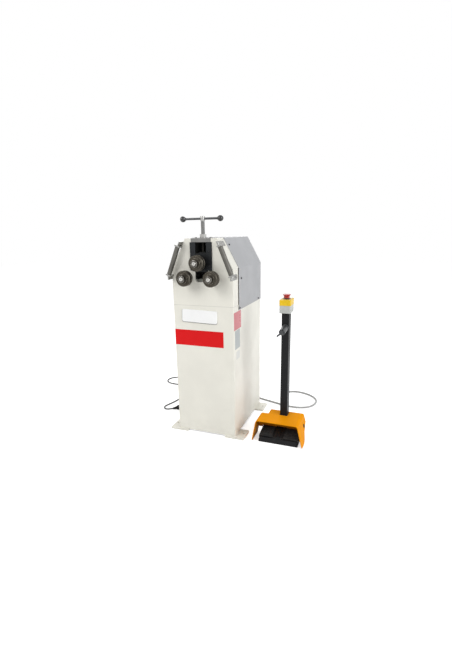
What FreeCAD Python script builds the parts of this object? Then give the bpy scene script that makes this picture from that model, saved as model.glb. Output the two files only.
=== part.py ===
import FreeCAD, Part
import math
import os
from FreeCAD import Vector

# Ring roller: an electric three-roll bender on a sheet-metal column, with a foot
# pedal station joined to it by a cable. Millimetres. Origin at the centre of the
# column's footprint on the floor, front towards -Y, width along X, +Z up.
# "depth" below means the distance behind the front face, negative in front of it.

# ---------------------------------------------------------------- body
body_width = 389.0
body_depth = 554.0
body_height = 1228.0
crease_drop = 173.0
crease_height = body_height - crease_drop
lower_axis_drop = 224.5
lower_axis_z = body_height - lower_axis_drop
axis_above_seam = 167.5
top_width = 203.0
seam_height = lower_axis_z - axis_above_seam
column_wall = 3.0
column_shelf = 8.0
column_shelf_depth = 150.0
foot_thickness = 11.0
foot_length = 120.0
foot_width = 125.0
foot_overhang_side = 58.5
foot_overhang_front = 12.0
foot_corner = 6.0
anchor_hole_r = 7.0
anchor_outset = 38.5
anchor_inset = 56.0
anchor_spacing_x = body_width + 2 * anchor_outset
anchor_spacing_y = body_depth - 2 * anchor_inset
edge_round = 3.0
seat_gap = 0.3

# rear panel of the column
panel_width = 330.0
panel_low = 110.0
panel_drop = 96.0
panel_high = seam_height - panel_drop
panel_sheet = 2.0
panel_lap = 20.0
vent_count = 7
vent_width = 150.0
vent_height = 8.0
vent_pitch = 20.0

# ---------------------------------------------------------------- head
head_depth = 150.0
head_wall = 8.5
front_plate = 20.0
slot_half = 41.0
slot_length = 250.0
slot_bottom = body_height - slot_length
slot_corner = 12.0
cheek = 13.0
bridge_half = 63.0
bridge_depth = 75.0
bridge_height = 22.0
keeper_inner = 34.5
keeper_outer = 68.5
keeper_thickness = 6.0
keeper_reach = 183.0
keeper_bottom = body_height - keeper_reach
keeper_screw_r = 6.5
keeper_screw_deep = 4.0
keeper_screw_inset = 27.0
stop_bar_top = slot_bottom + 14.0
stop_bar_height = 12.0
stop_bar_depth = 22.0
stop_bar_thick = 12.0
rear_keeper_inner = 28.0
rear_keeper_thick = 8.0
gib_thick = 2.5
gib_setback = 0.5
rear_plate = 20.0

# hood over the drive
hood_sheet = 2.0
hood_overlap = 32.0
hood_bottom = seam_height - hood_overlap
hood_start = 96.0
hood_reveal = 12.0
hood_reveal_deep = 5.0

# ---------------------------------------------------------------- rolls
roll_spacing = 168.0
upper_axis_drop = 137.0
upper_axis_z = body_height - upper_axis_drop
roll_r = 45.5
roll_bore_r = 15.0
disc_width = 14.0
disc_edge = 2.0
groove_r = 37.0
groove_width = 11.0
front_bevel = 4.0
collar_r = 29.0
collar_width = 8.0
roll_back_depth = -42.0
shoulder_r = 24.0
nut_r = 20.5
nut_width = 16.0
pin_hole_r = 2.6
pin_circle_r = 15.0
pin_hole_deep = 6.0
thread_r = 11.0
thread_stand_out = 3.0
centre_drill_r = 3.5
key_width = 8.0
key_height = 3.3
key_clearance = 0.1
shoulder_clearance = 0.6
running_clearance = 0.05

# bearings
lower_journal_r = 17.5
lower_bearing_r = 31.0
lower_bearing_width = 14.0
bearing_lip = 4.0
upper_bearing_r = 27.5
upper_bearing_width = 13.0
upper_lip = 5.0

# ---------------------------------------------------------------- slide and spindle
slide_clearance = 0.3
slide_depth = 85.0
slide_below_axis = 54.0
slide_above_axis = 52.0
tongue_proud = 4.0
spindle_depth = 37.0
spindle_r = 11.0
spindle_groove_r = 7.5
spindle_button = 18.0
spindle_keeper_thick = 6.0
spindle_keeper_half = 21.0
nut_flats = 36.0
nut_height = 17.0
washer_r = 20.0
washer_height = 6.0
spindle_head_r = 13.5
spindle_head_height = 28.0
tommy_rise = 108.5
tommy_z = body_height + tommy_rise
tommy_r = 6.5
tommy_span = 235.0
tommy_offset = -7.5
knob_r = 17.5
knob_neck_r = 9.0

# ---------------------------------------------------------------- side guide rollers
guide_r = 14.0
guide_depth = -32.0
guide_top_x = 133.0
guide_top_drop = 47.0
guide_top_z = body_height - guide_top_drop
guide_low_x = 196.0
guide_low_drop = 204.0
guide_low_z = body_height - guide_low_drop
guide_axle_r = 5.0
guide_axle_head_r = 8.0
guide_axle_head = 6.0
guide_end_gap = 1.0
bracket_block = 9.0
bracket_half = 15.0
strap_thick = 5.0
strap_reach = 60.0
strap_width = 30.0

# ---------------------------------------------------------------- drive
gear_module = 3.0
shaft_gear_teeth = 45
pinion_teeth = 20
gear_width = 28.0
gear_depth = 166.0
gear_hub_r = 24.0
mesh_slack = 0.15
tooth_backlash = 0.35
pressure_angle = math.radians(20)
pinion_shaft_r = 12.5
drive_plate_depth = 210.0
drive_plate_thick = 12.0
drive_plate_half = 140.0
drive_plate_lift = 9.0
drive_plate_rise = 106.5
drive_plate_low = seam_height + drive_plate_lift
drive_plate_high = lower_axis_z + drive_plate_rise
spacer_r = 10.0
spacer_low_x = 128.0
spacer_high_x = 60.0
spacer_low_lift = 17.0
spacer_high_drop = 16.0
spacer_low = (spacer_low_x, drive_plate_low + spacer_low_lift)
spacer_high = (spacer_high_x, drive_plate_high - spacer_high_drop)
gearbox_half = 70.0
gearbox_depth = 140.0
gearbox_above = 70.0
gearbox_below = 76.0
motor_flange_r = 68.0
motor_flange = 12.0
motor_r = 61.0
motor_length = 215.0
fan_cover_r = 63.0
fan_cover_length = 55.0
motor_fins = 14

# control box on the column's left wall
control_box_out = 100.0
control_box_depth = 120.0
control_box_length = 190.0
control_box_low = 420.0
control_box_height = 220.0
control_lid = 14.0

# ---------------------------------------------------------------- pedal station
pedal_x = 463.0
pedal_front = 14.0
base_length = 176.0
base_floor = 14.0
sill_height = 33.0
sill_thick = 5.0
tower_x = 479.0
tower_half = 97.0
tower_depth = 62.0
tower_top = 136.0
tower_round = 18.0
pedal_width = 85.0
pedal_inner = 32.0
pedal_side_gap = 1.0
lug_width = 3.5
base_width = 2 * (pedal_inner + pedal_width + pedal_side_gap + lug_width)
pedal_length = 100.0
pedal_plate = 7.0
pedal_top = 46.0
pedal_tilt = 9.0
pedal_lip = 10.0
pedal_setback = 7.0
pivot_setback = 24.0
pivot_z = 27.0
pivot_r = 4.0
knuckle_r = 8.0
pivot_clearance = 0.06
lug_half = 7.0
rib_half = 6.0
rib_rise = 5.0
block_front_top = 42.0
block_back_top = 58.0

# bent sheets over the pedals; a wing is the x of its plane at the floor and its lean
hood_left_wing = (300.0, 0.175)
hood_right_wing = (616.0, 0.243)
cover_left_wing = (345.5, 0.175)
pedal_hood_top = 140.0
pedal_hood_sheet = 4.0
pedal_hood_round = 20.0
pedal_hood_tip = 14.0
pedal_hood_front_top = 9.0
pedal_hood_front_low = 3.0
pedal_hood_back = 131.0
hood_right_heel = ((75.0, 0.0), (104.0, 12.0), (131.0, 37.0))
cover_back_top = 214.0
cover_back_low = 219.0
cover_back_round = 24.0
cover_lower_edge = ((131.0, 37.0), (144.0, 48.0), (187.0, 66.0), (219.0, 79.0))

# pole with the stop button's box
pole_left = 448.0
pole_width = 45.0
pole_length = 60.0
pole_wall = 3.0
pole_top = 793.0
pole_corner = 4.0
station_width = 66.0
station_length = 96.0
station_base = 46.0
station_lid = 34.0
station_corner = 5.0
button_neck_r = 14.0
button_neck = 7.0
button_low_r = 17.0
button_top_r = 23.5
button_height = 23.0
button_travel = 5.0
button_stem_r = 9.0
selector_z = 704.0
selector_flange_r = 21.5
selector_flange = 6.0
selector_r = 18.5
selector_length = 84.0
selector_droop = 6.0
selector_boss_r = 13.0
selector_grip = 12.0
selector_arm = 36.0
selector_tail = 15.0
selector_arm_half = 4.5
selector_rest_angle = 40.0

# ---------------------------------------------------------------- cords
lead_d = 9.5
cable_d = 13.0
arc_share = 0.45
gland_length = 24.0
gland_flange_r = 12.0
gland_nose_r = 8.5
gland_flange = 6.0
gland_z = 58.0
lead_gland_x = -120.0
cable_gland_x = -20.0
pedal_gland_x = 440.0
pedal_gland_z = 30.0
plug_length = 44.0
plug_small_r = 6.5
plug_big_r = 18.5
plug_z = 12.0
plug_heading = 24.0
plug_tilt = 9.5
plug_pin_r = 2.4
plug_pin_length = 19.0
plug_pin_half = 9.5

half_width = body_width / 2
front_y = -body_depth / 2
rear_y = body_depth / 2


def at(depth):
    """Y of a point that lies this far behind the front face."""
    return front_y + depth


def block(x0, x1, y0, y1, z0, z1):
    return Part.makeBox(x1 - x0, y1 - y0, z1 - z0, Vector(x0, y0, z0))


def rod(start, end, radius):
    axis = end.sub(start)
    return Part.makeCylinder(radius, axis.Length, start, axis)


def rod_y(x, z, radius, depth0, depth1):
    return rod(Vector(x, at(depth0), z), Vector(x, at(depth1), z), radius)


def prism_xz(points, depth0, depth1):
    """A polygon of (x, z) points, made solid between two depths."""
    corners = [Vector(x, at(depth0), z) for x, z in points]
    face = Part.Face(Part.makePolygon(corners + corners[:1]))
    return face.extrude(Vector(0, depth1 - depth0, 0))


def prism_yz(points, x0, x1):
    """A polygon of (depth, z) points, made solid between two x."""
    corners = [Vector(x0, at(depth), z) for depth, z in points]
    face = Part.Face(Part.makePolygon(corners + corners[:1]))
    return face.extrude(Vector(x1 - x0, 0, 0))


def turned_y(profile, x, z):
    """A turned part about an axis along Y; profile is a list of (radius, depth)."""
    corners = [Vector(x + radius, at(depth), z) for radius, depth in profile]
    face = Part.Face(Part.makePolygon(corners + corners[:1]))
    return face.revolve(Vector(x, 0, z), Vector(0, 1, 0), 360)


def turned_z(profile, x, y):
    """A turned part about a vertical axis; profile is a list of (radius, z)."""
    corners = [Vector(x + radius, y, z) for radius, z in profile]
    face = Part.Face(Part.makePolygon(corners + corners[:1]))
    return face.revolve(Vector(x, y, 0), Vector(0, 0, 1), 360)


def round_edges(shape, radius, wanted):
    """Fillet the edges for which wanted(edge) is true."""
    edges = [edge for edge in shape.Edges if wanted(edge)]
    return shape.makeFillet(radius, edges)


def is_vertical(edge):
    low, high = edge.BoundBox.ZMin, edge.BoundBox.ZMax
    flat = edge.BoundBox.XLength < 1e-6 and edge.BoundBox.YLength < 1e-6
    return flat and high - low > 1e-6


def is_along_y(edge):
    flat = edge.BoundBox.XLength < 1e-6 and edge.BoundBox.ZLength < 1e-6
    return flat and edge.BoundBox.YLength > 1e-6


def group(solids):
    return Part.makeCompound(solids)


def save(name, shape):
    shape.exportStep(os.path.join("parts", name + ".step"))


# ---------------------------------------------------------------- column
def column():
    floor = foot_thickness
    shell = block(-half_width, half_width, front_y, rear_y, floor, seam_height)
    shell = round_edges(shell, edge_round, is_vertical)
    hollow = block(-half_width + column_wall, half_width - column_wall,
                   front_y + column_wall, rear_y - column_wall, floor - 1, seam_height + 1)
    shelf = block(-half_width + column_wall, half_width - column_wall,
                  front_y + column_wall, at(column_shelf_depth),
                  seam_height - column_shelf, seam_height)
    opening = block(-panel_width / 2 + panel_lap, panel_width / 2 - panel_lap,
                    rear_y - 2 * column_wall, rear_y + 1,
                    panel_low + panel_lap, panel_high - panel_lap)
    shell = shell.cut(hollow).fuse(shelf).cut(opening)
    for side in (-1, 1):
        x_in = side * (half_width - column_wall)
        x_out = side * (half_width + 1)
        shell = shell.cut(block(min(x_in, x_out), max(x_in, x_out), at(hood_start - hood_reveal),
                                at(hood_start), hood_bottom, seam_height + 1))
    return shell


def foot_plates():
    plates = []
    for side in (-1, 1):
        for end in (-1, 1):
            x_out = side * (half_width + foot_overhang_side)
            x_in = x_out - side * foot_width
            if end < 0:
                y0 = front_y - foot_overhang_front
            else:
                y0 = rear_y - foot_length
            plate = block(min(x_in, x_out), max(x_in, x_out), y0, y0 + foot_length, 0, foot_thickness)
            plate = round_edges(plate, foot_corner, is_vertical)
            hole = rod(Vector(side * anchor_spacing_x / 2, end * anchor_spacing_y / 2, -1),
                       Vector(side * anchor_spacing_x / 2, end * anchor_spacing_y / 2, foot_thickness + 1),
                       anchor_hole_r)
            plates.append(plate.cut(hole))
    return group(plates)


def rear_panel():
    panel = block(-panel_width / 2, panel_width / 2, rear_y, rear_y + panel_sheet, panel_low, panel_high)
    panel = round_edges(panel, foot_corner, is_along_y)
    for row in range(vent_count):
        z = panel_high - 3 * panel_lap - row * vent_pitch
        slot = block(-vent_width / 2, vent_width / 2, rear_y - 1, rear_y + panel_sheet + 1,
                     z - vent_height, z)
        panel = panel.cut(round_edges(slot, vent_height / 2 - 0.5, is_along_y))
    return panel


# ---------------------------------------------------------------- head
def head_outline(inset, low):
    """The head's outline in x and z, moved inwards by inset, with its lower edge at low."""
    run = half_width - top_width / 2
    rise = body_height - crease_height
    length = math.hypot(run, rise)
    side = half_width - inset
    top = body_height - inset
    # the chamfer is the line where x * rise + z * run is constant
    reach = half_width * rise + crease_height * run - inset * length
    crease_z = (reach - side * rise) / run
    top_x = (reach - top * run) / rise
    return [(-side, low), (side, low), (side, crease_z), (top_x, top), (-top_x, top), (-side, crease_z)]


def is_folded_edge(edge):
    """An edge along Y at one of the head's four upper corners."""
    return is_along_y(edge) and edge.BoundBox.ZMin > seam_height + 1


def is_front_side_edge(edge):
    """An upright or sloping edge of the head's outline in its front face."""
    in_front = abs(edge.BoundBox.YMax - front_y) < 1e-6
    return in_front and edge.BoundBox.ZLength > 1


def head_frame():
    outer = prism_xz(head_outline(0, seam_height), 0, head_depth)
    outer = round_edges(outer, edge_round, lambda edge: is_front_side_edge(edge) or is_folded_edge(edge))
    inner = prism_xz(head_outline(head_wall, seam_height + head_wall), front_plate, head_depth + 1)
    head = outer.cut(inner)
    bridge_bottom = body_height - bridge_height
    slot = block(-slot_half, slot_half, at(-1), at(front_plate + 1), slot_bottom, body_height + 1)
    lower_corners = [edge for edge in slot.Edges
                     if is_along_y(edge) and abs(edge.BoundBox.ZMax - slot_bottom) < 1e-6]
    slot = slot.makeFillet(slot_corner, lower_corners)
    notch = block(-bridge_half, bridge_half, at(-1), at(bridge_depth), bridge_bottom, body_height + 1)
    for side in (-1, 1):
        x_in = side * slot_half
        x_out = side * (slot_half + cheek)
        guide = block(min(x_in, x_out), max(x_in, x_out), at(front_plate),
                      at(slide_depth + slide_clearance), slot_bottom - cheek, bridge_bottom)
        head = head.fuse(guide)
    head = head.cut(slot).cut(notch)
    for side in (-1, 1):
        x = side * roll_spacing / 2
        seat = rod_y(x, lower_axis_z, lower_bearing_r, bearing_lip, front_plate + 1)
        lip = rod_y(x, lower_axis_z, shoulder_r + shoulder_clearance, -1, bearing_lip + 1)
        x_in = side * (half_width - hood_reveal_deep)
        x_out = side * (half_width + 1)
        reveal = block(min(x_in, x_out), max(x_in, x_out), at(hood_start - hood_reveal), at(head_depth + 1),
                       seam_height - 1, crease_height)
        head = head.cut(seat).cut(lip).cut(reveal)
    return head


def rear_bearing_plate():
    depth0 = head_depth - rear_plate
    plate = prism_xz(head_outline(head_wall, seam_height + head_wall), depth0, head_depth)
    for side in (-1, 1):
        x = side * roll_spacing / 2
        seat = rod_y(x, lower_axis_z, lower_bearing_r, depth0 + bearing_lip, head_depth + 1)
        lip = rod_y(x, lower_axis_z, lower_journal_r + shoulder_clearance,
                    depth0 - 1, depth0 + bearing_lip + 1)
        plate = plate.cut(seat).cut(lip)
    return plate


def top_hood():
    outer = prism_xz(head_outline(-seat_gap - hood_sheet, hood_bottom), hood_start,
                     body_depth + seat_gap + hood_sheet)
    inner = prism_xz(head_outline(-seat_gap, hood_bottom - 1), hood_start - 1, body_depth + seat_gap)
    outer = round_edges(outer, edge_round + seat_gap + hood_sheet, is_folded_edge)
    inner = round_edges(inner, edge_round + seat_gap, is_folded_edge)
    return outer.cut(inner)


def keeper_plates():
    plates = []
    top = body_height - bridge_height
    for side in (-1, 1):
        x_in = side * keeper_inner
        x_out = side * keeper_outer
        plate = block(min(x_in, x_out), max(x_in, x_out), at(-keeper_thickness), at(0), keeper_bottom, top)
        front_edges = [edge for edge in plate.Edges
                       if abs(edge.BoundBox.YMax - at(-keeper_thickness)) < 1e-6]
        plate = plate.makeChamfer(1.2, front_edges)
        for z in (keeper_bottom + keeper_screw_inset, top - 2 * keeper_screw_inset):
            x = (x_in + x_out) / 2
            plate = plate.cut(rod_y(x, z, keeper_screw_r, -keeper_thickness - 1,
                                    -keeper_thickness + keeper_screw_deep))
        plates.append(plate)
    return group(plates)


def spindle_bridge():
    bridge = block(-bridge_half, bridge_half, at(0), at(bridge_depth),
                   body_height - bridge_height, body_height)
    hole = rod(Vector(0, at(spindle_depth), 0), Vector(0, at(spindle_depth), body_height + 1),
               spindle_r + 2 * running_clearance)
    return bridge.cut(hole)


def nut_washer():
    radius = spindle_r + 2 * running_clearance
    low = body_height
    high = low + washer_height
    return turned_z([(radius, low), (washer_r, low), (washer_r, high - 1), (washer_r - 1, high),
                     (radius, high)], 0, at(spindle_depth))


def spindle_nut():
    low = body_height + washer_height
    high = low + nut_height
    corner_r = nut_flats / 2 / math.cos(math.radians(30))
    corners = []
    for turn in range(7):
        angle = math.radians(60 * turn)
        y = at(spindle_depth) + corner_r * math.sin(angle)
        corners.append(Vector(corner_r * math.cos(angle), y, low))
    prism = Part.Face(Part.makePolygon(corners)).extrude(Vector(0, 0, nut_height))
    bevel = corner_r - nut_flats / 2
    dome = turned_z([(0, low), (nut_flats / 2, low), (corner_r, low + bevel / 2),
                     (corner_r, high - bevel / 2), (nut_flats / 2, high), (0, high)], 0, at(spindle_depth))
    hole = rod(Vector(0, at(spindle_depth), low - 1), Vector(0, at(spindle_depth), high + 1),
               spindle_r + 2 * running_clearance)
    return prism.common(dome).cut(hole)


def slot_stop_bar():
    bar = block(-slot_half, slot_half, at(stop_bar_depth), at(stop_bar_depth + stop_bar_thick),
                stop_bar_top - stop_bar_height, stop_bar_top)
    upper = [edge for edge in bar.Edges
             if edge.BoundBox.XLength > slot_half and abs(edge.BoundBox.ZMin - stop_bar_top) < 1e-6]
    return bar.makeFillet(3.0, upper)


def rear_keepers():
    plates = []
    depth0 = slide_depth + slide_clearance
    for side in (-1, 1):
        x_in = side * rear_keeper_inner
        x_out = side * (slot_half + cheek)
        plates.append(block(min(x_in, x_out), max(x_in, x_out), at(depth0), at(depth0 + rear_keeper_thick),
                            slot_bottom - cheek, body_height - bridge_height))
    return group(plates)


def slide_gibs():
    """Wear strips along both sides of the slot, above the stop bar."""
    strips = []
    for side in (-1, 1):
        x_in = side * (slot_half - gib_thick)
        x_out = side * slot_half
        strips.append(block(min(x_in, x_out), max(x_in, x_out), at(gib_setback), at(slide_depth),
                            stop_bar_top, body_height - bridge_height))
    return group(strips)


def lower_bearings():
    rings = []
    for side in (-1, 1):
        for depth in (bearing_lip, head_depth - rear_plate + bearing_lip):
            x = side * roll_spacing / 2
            ring = rod_y(x, lower_axis_z, lower_bearing_r, depth, depth + lower_bearing_width)
            rings.append(ring.cut(rod_y(x, lower_axis_z, lower_journal_r + running_clearance,
                                        depth - 1, depth + lower_bearing_width + 1)))
    return group(rings)


# ---------------------------------------------------------------- side guide rollers
def guide_axis(side):
    """Lower and upper end of a side guide roller, and its unit direction upwards."""
    low = Vector(side * guide_low_x, at(guide_depth), guide_low_z)
    top = Vector(side * guide_top_x, at(guide_depth), guide_top_z)
    along = top.sub(low)
    return low, top, along.normalize()


def guide_roller(side):
    low, top, along = guide_axis(side)
    roller = rod(low, top, guide_r)
    rims = [edge for edge in roller.Edges if len(edge.Vertexes) == 1]
    roller = roller.makeChamfer(1.5, rims)
    bore = rod(low.sub(along * 5), top.add(along * 5), guide_axle_r + 2 * running_clearance)
    return roller.cut(bore)


def guide_axles():
    axles = []
    for side in (-1, 1):
        low, top, along = guide_axis(side)
        reach = guide_end_gap + bracket_block
        root = low.sub(along * reach)
        axle = rod(root, top.add(along * (reach + 3)), guide_axle_r)
        axle_head = rod(root, root.sub(along * guide_axle_head), guide_axle_head_r)
        axles.append(axle.fuse(axle_head))
    return group(axles)


def tilted_block(centre, along, length, across, y0, y1):
    """A block whose axis lies along a line in the XZ plane, with y0 and y1 as its two depths."""
    sideways = Vector(along.z, 0, -along.x)
    start = Vector(centre.x, at(y0), centre.z)
    corners = []
    for u, v in ((0, -across), (length, -across), (length, across), (0, across)):
        corners.append(start.add(along * u).add(sideways * v))
    face = Part.Face(Part.makePolygon(corners + corners[:1]))
    return face.extrude(Vector(0, y1 - y0, 0))


def guide_brackets():
    brackets = []
    front = guide_depth - bracket_half
    run = half_width - top_width / 2
    rise = body_height - crease_height
    for side in (-1, 1):
        low, top, along = guide_axis(side)
        hole = rod(low.sub(along * 40), top.add(along * 40), guide_axle_r + seat_gap)
        reach = guide_end_gap + bracket_block
        head_seat = rod(low.sub(along * reach), low.sub(along * 40), guide_axle_head_r + seat_gap)
        hole = hole.fuse(head_seat)
        # upper: a block beyond the roller's end and a strap on the sloping face
        lug = tilted_block(top.add(along * guide_end_gap), along, bracket_block, bracket_half, front, 0)
        slope = Vector(-side * run, 0, rise).normalize()
        outwards = Vector(side * rise, 0, run).normalize()
        foot_z = guide_top_z + 2
        foot = Vector(side * (half_width - (foot_z - crease_height) * run / rise), 0, foot_z)
        middle = foot.add(outwards * (strap_thick / 2))
        strap = tilted_block(middle, slope, strap_width, strap_thick / 2, front, strap_reach)
        brackets.append(lug.fuse(strap).cut(hole))
        # lower: the same with its strap on the side wall
        down = along * -1
        lug = tilted_block(low.add(down * guide_end_gap), down, bracket_block, bracket_half, front, 0)
        x_in = side * half_width
        x_out = side * (half_width + strap_thick)
        strap_top = guide_low_z - 2
        strap = block(min(x_in, x_out), max(x_in, x_out), at(front), at(strap_reach),
                      strap_top - strap_width, strap_top)
        brackets.append(lug.fuse(strap).cut(hole))
    return group(brackets)


# ---------------------------------------------------------------- rolls
def key_bar(x, z, radius, depth0, depth1, slack):
    half = key_width / 2 + slack
    return block(x - half, x + half, at(depth0), at(depth1), z, z + radius + key_height + slack)


def roll_stack():
    """Depths of the stack from its back to the front of the nut."""
    rear0 = roll_back_depth
    rear1 = rear0 - disc_width
    groove1 = rear1 - groove_width
    front1 = groove1 - disc_width
    collar1 = front1 - collar_width
    nut1 = collar1 - nut_width
    return rear0, rear1, groove1, front1, collar1, nut1


def roll_shaft(x, z, shoulder_end, steps):
    """A roll shaft; steps is a list of (radius, end depth) behind the shoulder."""
    rear0, rear1, groove1, front1, collar1, nut1 = roll_stack()
    tip = nut1 - thread_stand_out
    profile = [(0, tip), (thread_r - 1.5, tip), (thread_r, tip + 1.5), (thread_r, collar1),
               (roll_bore_r, collar1), (roll_bore_r, rear0), (shoulder_r, rear0),
               (shoulder_r, shoulder_end)]
    begin = shoulder_end
    for radius, end in steps:
        profile.append((radius, begin))
        profile.append((radius, end))
        begin = end
    profile.append((0, begin))
    shaft = turned_y(profile, x, z)
    drill = Part.makeCone(centre_drill_r, 0, centre_drill_r * 1.5, Vector(x, at(tip), z), Vector(0, 1, 0))
    key = key_bar(x, z, roll_bore_r, front1 + 2, rear0, 0)
    key = key.cut(rod_y(x, z, roll_bore_r - 1, front1, rear0 + 1))
    return shaft.cut(drill).fuse(key).removeSplitter()


def rear_disc(x, z):
    rear0, rear1, groove1, front1, collar1, nut1 = roll_stack()
    disc = turned_y([(roll_bore_r, rear0), (roll_r - disc_edge, rear0), (roll_r, rear0 - disc_edge),
                     (roll_r, rear1 + disc_edge), (roll_r - disc_edge, rear1), (groove_r, rear1),
                     (groove_r, groove1), (roll_bore_r, groove1)], x, z)
    return disc.cut(key_bar(x, z, roll_bore_r, groove1 - 1, rear0 + 1, key_clearance))


def front_disc(x, z):
    rear0, rear1, groove1, front1, collar1, nut1 = roll_stack()
    disc = turned_y([(roll_bore_r, groove1), (roll_r - disc_edge, groove1), (roll_r, groove1 - disc_edge),
                     (roll_r, front1 + front_bevel), (roll_r - front_bevel, front1), (collar_r, front1),
                     (collar_r, collar1 + 1), (collar_r - 1, collar1), (roll_bore_r, collar1)], x, z)
    return disc.cut(key_bar(x, z, roll_bore_r, collar1 - 1, groove1 + 1, key_clearance))


def roll_nut(x, z):
    rear0, rear1, groove1, front1, collar1, nut1 = roll_stack()
    nut = turned_y([(thread_r, collar1), (nut_r, collar1), (nut_r, nut1 + 2), (nut_r - 2, nut1),
                    (thread_r, nut1)], x, z)
    for turn in range(4):
        angle = math.radians(90 * turn + 15)
        hole_x = x + pin_circle_r * math.cos(angle)
        hole_z = z + pin_circle_r * math.sin(angle)
        nut = nut.cut(rod_y(hole_x, hole_z, pin_hole_r, nut1 - 1, nut1 + pin_hole_deep))
    return nut


def lower_shaft(side):
    gear_end = gear_depth + gear_width + 4
    return roll_shaft(side * roll_spacing / 2, lower_axis_z, bearing_lip - seat_gap,
                      [(lower_journal_r, head_depth), (roll_bore_r, gear_end)])


def upper_shaft():
    return roll_shaft(0, upper_axis_z, upper_lip - seat_gap, [(roll_bore_r, slide_depth + 3)])


# ---------------------------------------------------------------- slide and spindle
def slide_block():
    low = upper_axis_z - slide_below_axis
    high = upper_axis_z + slide_above_axis
    half = slot_half - gib_thick - slide_clearance
    body = block(-half, half, at(slide_clearance), at(slide_depth), low, high)
    tongue = block(-keeper_inner + slide_clearance, keeper_inner - slide_clearance, at(-tongue_proud),
                   at(slide_clearance), low, high)
    seat = rod_y(0, upper_axis_z, upper_bearing_r, upper_lip, slide_depth + 1)
    lip = rod_y(0, upper_axis_z, shoulder_r + shoulder_clearance, -tongue_proud - 1, upper_lip + 1)
    pocket = rod(Vector(0, at(spindle_depth), high - spindle_button - 2),
                 Vector(0, at(spindle_depth), high + 1), spindle_r)
    return body.fuse(tongue).removeSplitter().cut(seat).cut(lip).cut(pocket)


def upper_bearings():
    rings = []
    for depth in (upper_lip, slide_depth - upper_lip - upper_bearing_width):
        ring = rod_y(0, upper_axis_z, upper_bearing_r, depth, depth + upper_bearing_width)
        rings.append(ring.cut(rod_y(0, upper_axis_z, roll_bore_r + running_clearance,
                                    depth - 1, depth + upper_bearing_width + 1)))
    return group(rings)


def spindle_keeper():
    low = upper_axis_z + slide_above_axis
    high = low + spindle_keeper_thick
    y = at(spindle_depth)
    plate = block(-spindle_keeper_half, spindle_keeper_half, y - spindle_keeper_half, y + spindle_keeper_half,
                  low, high)
    neck = spindle_groove_r + slide_clearance
    slot = block(-neck, neck, y, y + spindle_keeper_half + 1, low - 1, high + 1)
    slot = slot.fuse(rod(Vector(0, y, low - 1), Vector(0, y, high + 1), neck))
    return plate.cut(slot)


def spindle():
    slide_top = upper_axis_z + slide_above_axis
    groove_low = slide_top - slide_clearance
    groove_high = slide_top + spindle_keeper_thick + slide_clearance
    head_low = tommy_z - spindle_head_height / 2
    head_high = tommy_z + spindle_head_height / 2
    button_r = spindle_r - slide_clearance
    body = turned_z([(0, slide_top - spindle_button), (button_r, slide_top - spindle_button),
                     (button_r, groove_low), (spindle_groove_r, groove_low), (spindle_groove_r, groove_high),
                     (spindle_r, groove_high), (spindle_r, head_low), (spindle_head_r - 2, head_low),
                     (spindle_head_r, head_low + 3), (spindle_head_r, head_high - 2),
                     (spindle_head_r - 2, head_high), (0, head_high)], 0, at(spindle_depth))
    cross = rod(Vector(-50, at(spindle_depth), tommy_z), Vector(50, at(spindle_depth), tommy_z),
                tommy_r + 2 * running_clearance)
    return body.cut(cross)


def tommy_ends():
    return tommy_offset - tommy_span / 2, tommy_offset + tommy_span / 2


def tommy_bar_rod(slack):
    left, right = tommy_ends()
    return rod(Vector(left - slack, at(spindle_depth), tommy_z),
               Vector(right + slack, at(spindle_depth), tommy_z), tommy_r + slack)


def tommy_bar():
    return tommy_bar_rod(0)


def ball_knobs():
    knobs = []
    for x, inwards in zip(tommy_ends(), (1, -1)):
        centre = Vector(x, at(spindle_depth), tommy_z)
        ball = Part.makeSphere(knob_r, centre, Vector(inwards, 0, 0))
        neck = rod(centre, centre.add(Vector(inwards * knob_r, 0, 0)), knob_neck_r)
        knobs.append(ball.fuse(neck).cut(tommy_bar_rod(seat_gap)))
    return group(knobs)


# ---------------------------------------------------------------- drive
def pinion_place():
    """Height of the drive pinion below the two shaft gears."""
    distance = gear_module * (shaft_gear_teeth + pinion_teeth) / 2 + mesh_slack
    return lower_axis_z - math.sqrt(distance ** 2 - (roll_spacing / 2) ** 2)


def gear(x, z, teeth, depth0, depth1, phase, bore):
    """A spur gear with involute flanks; phase is the angle in degrees of a tooth's middle."""
    pitch_r = gear_module * teeth / 2
    base_r = pitch_r * math.cos(pressure_angle)
    tip_r = pitch_r + gear_module * 0.95
    root_r = pitch_r - gear_module * 1.25
    half_tooth = (math.pi * gear_module / 2 - tooth_backlash) / 2 / pitch_r

    def involute(radius):
        ratio = max(1.0, radius / base_r)
        spread = math.sqrt(ratio ** 2 - 1)
        return spread - math.atan(spread)

    start_r = max(base_r, root_r + 0.2)
    radii = [start_r + (tip_r - start_r) * step / 4 for step in range(5)]
    flank = [(radius, half_tooth + involute(pitch_r) - involute(radius)) for radius in radii]
    points = []
    for tooth in range(teeth):
        middle = math.radians(phase) + 2 * math.pi * tooth / teeth
        points.append((root_r, middle - flank[0][1] - 0.004))
        points += [(radius, middle - half) for radius, half in flank]
        points += [(radius, middle + half) for radius, half in reversed(flank)]
        points.append((root_r, middle + flank[0][1] + 0.004))
    corners = [Vector(x + radius * math.cos(angle), at(depth0), z + radius * math.sin(angle))
               for radius, angle in points]
    blank = Part.Face(Part.makePolygon(corners + corners[:1])).extrude(Vector(0, depth1 - depth0, 0))
    return blank.cut(rod_y(x, z, bore, depth0 - 1, depth1 + 1))


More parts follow.
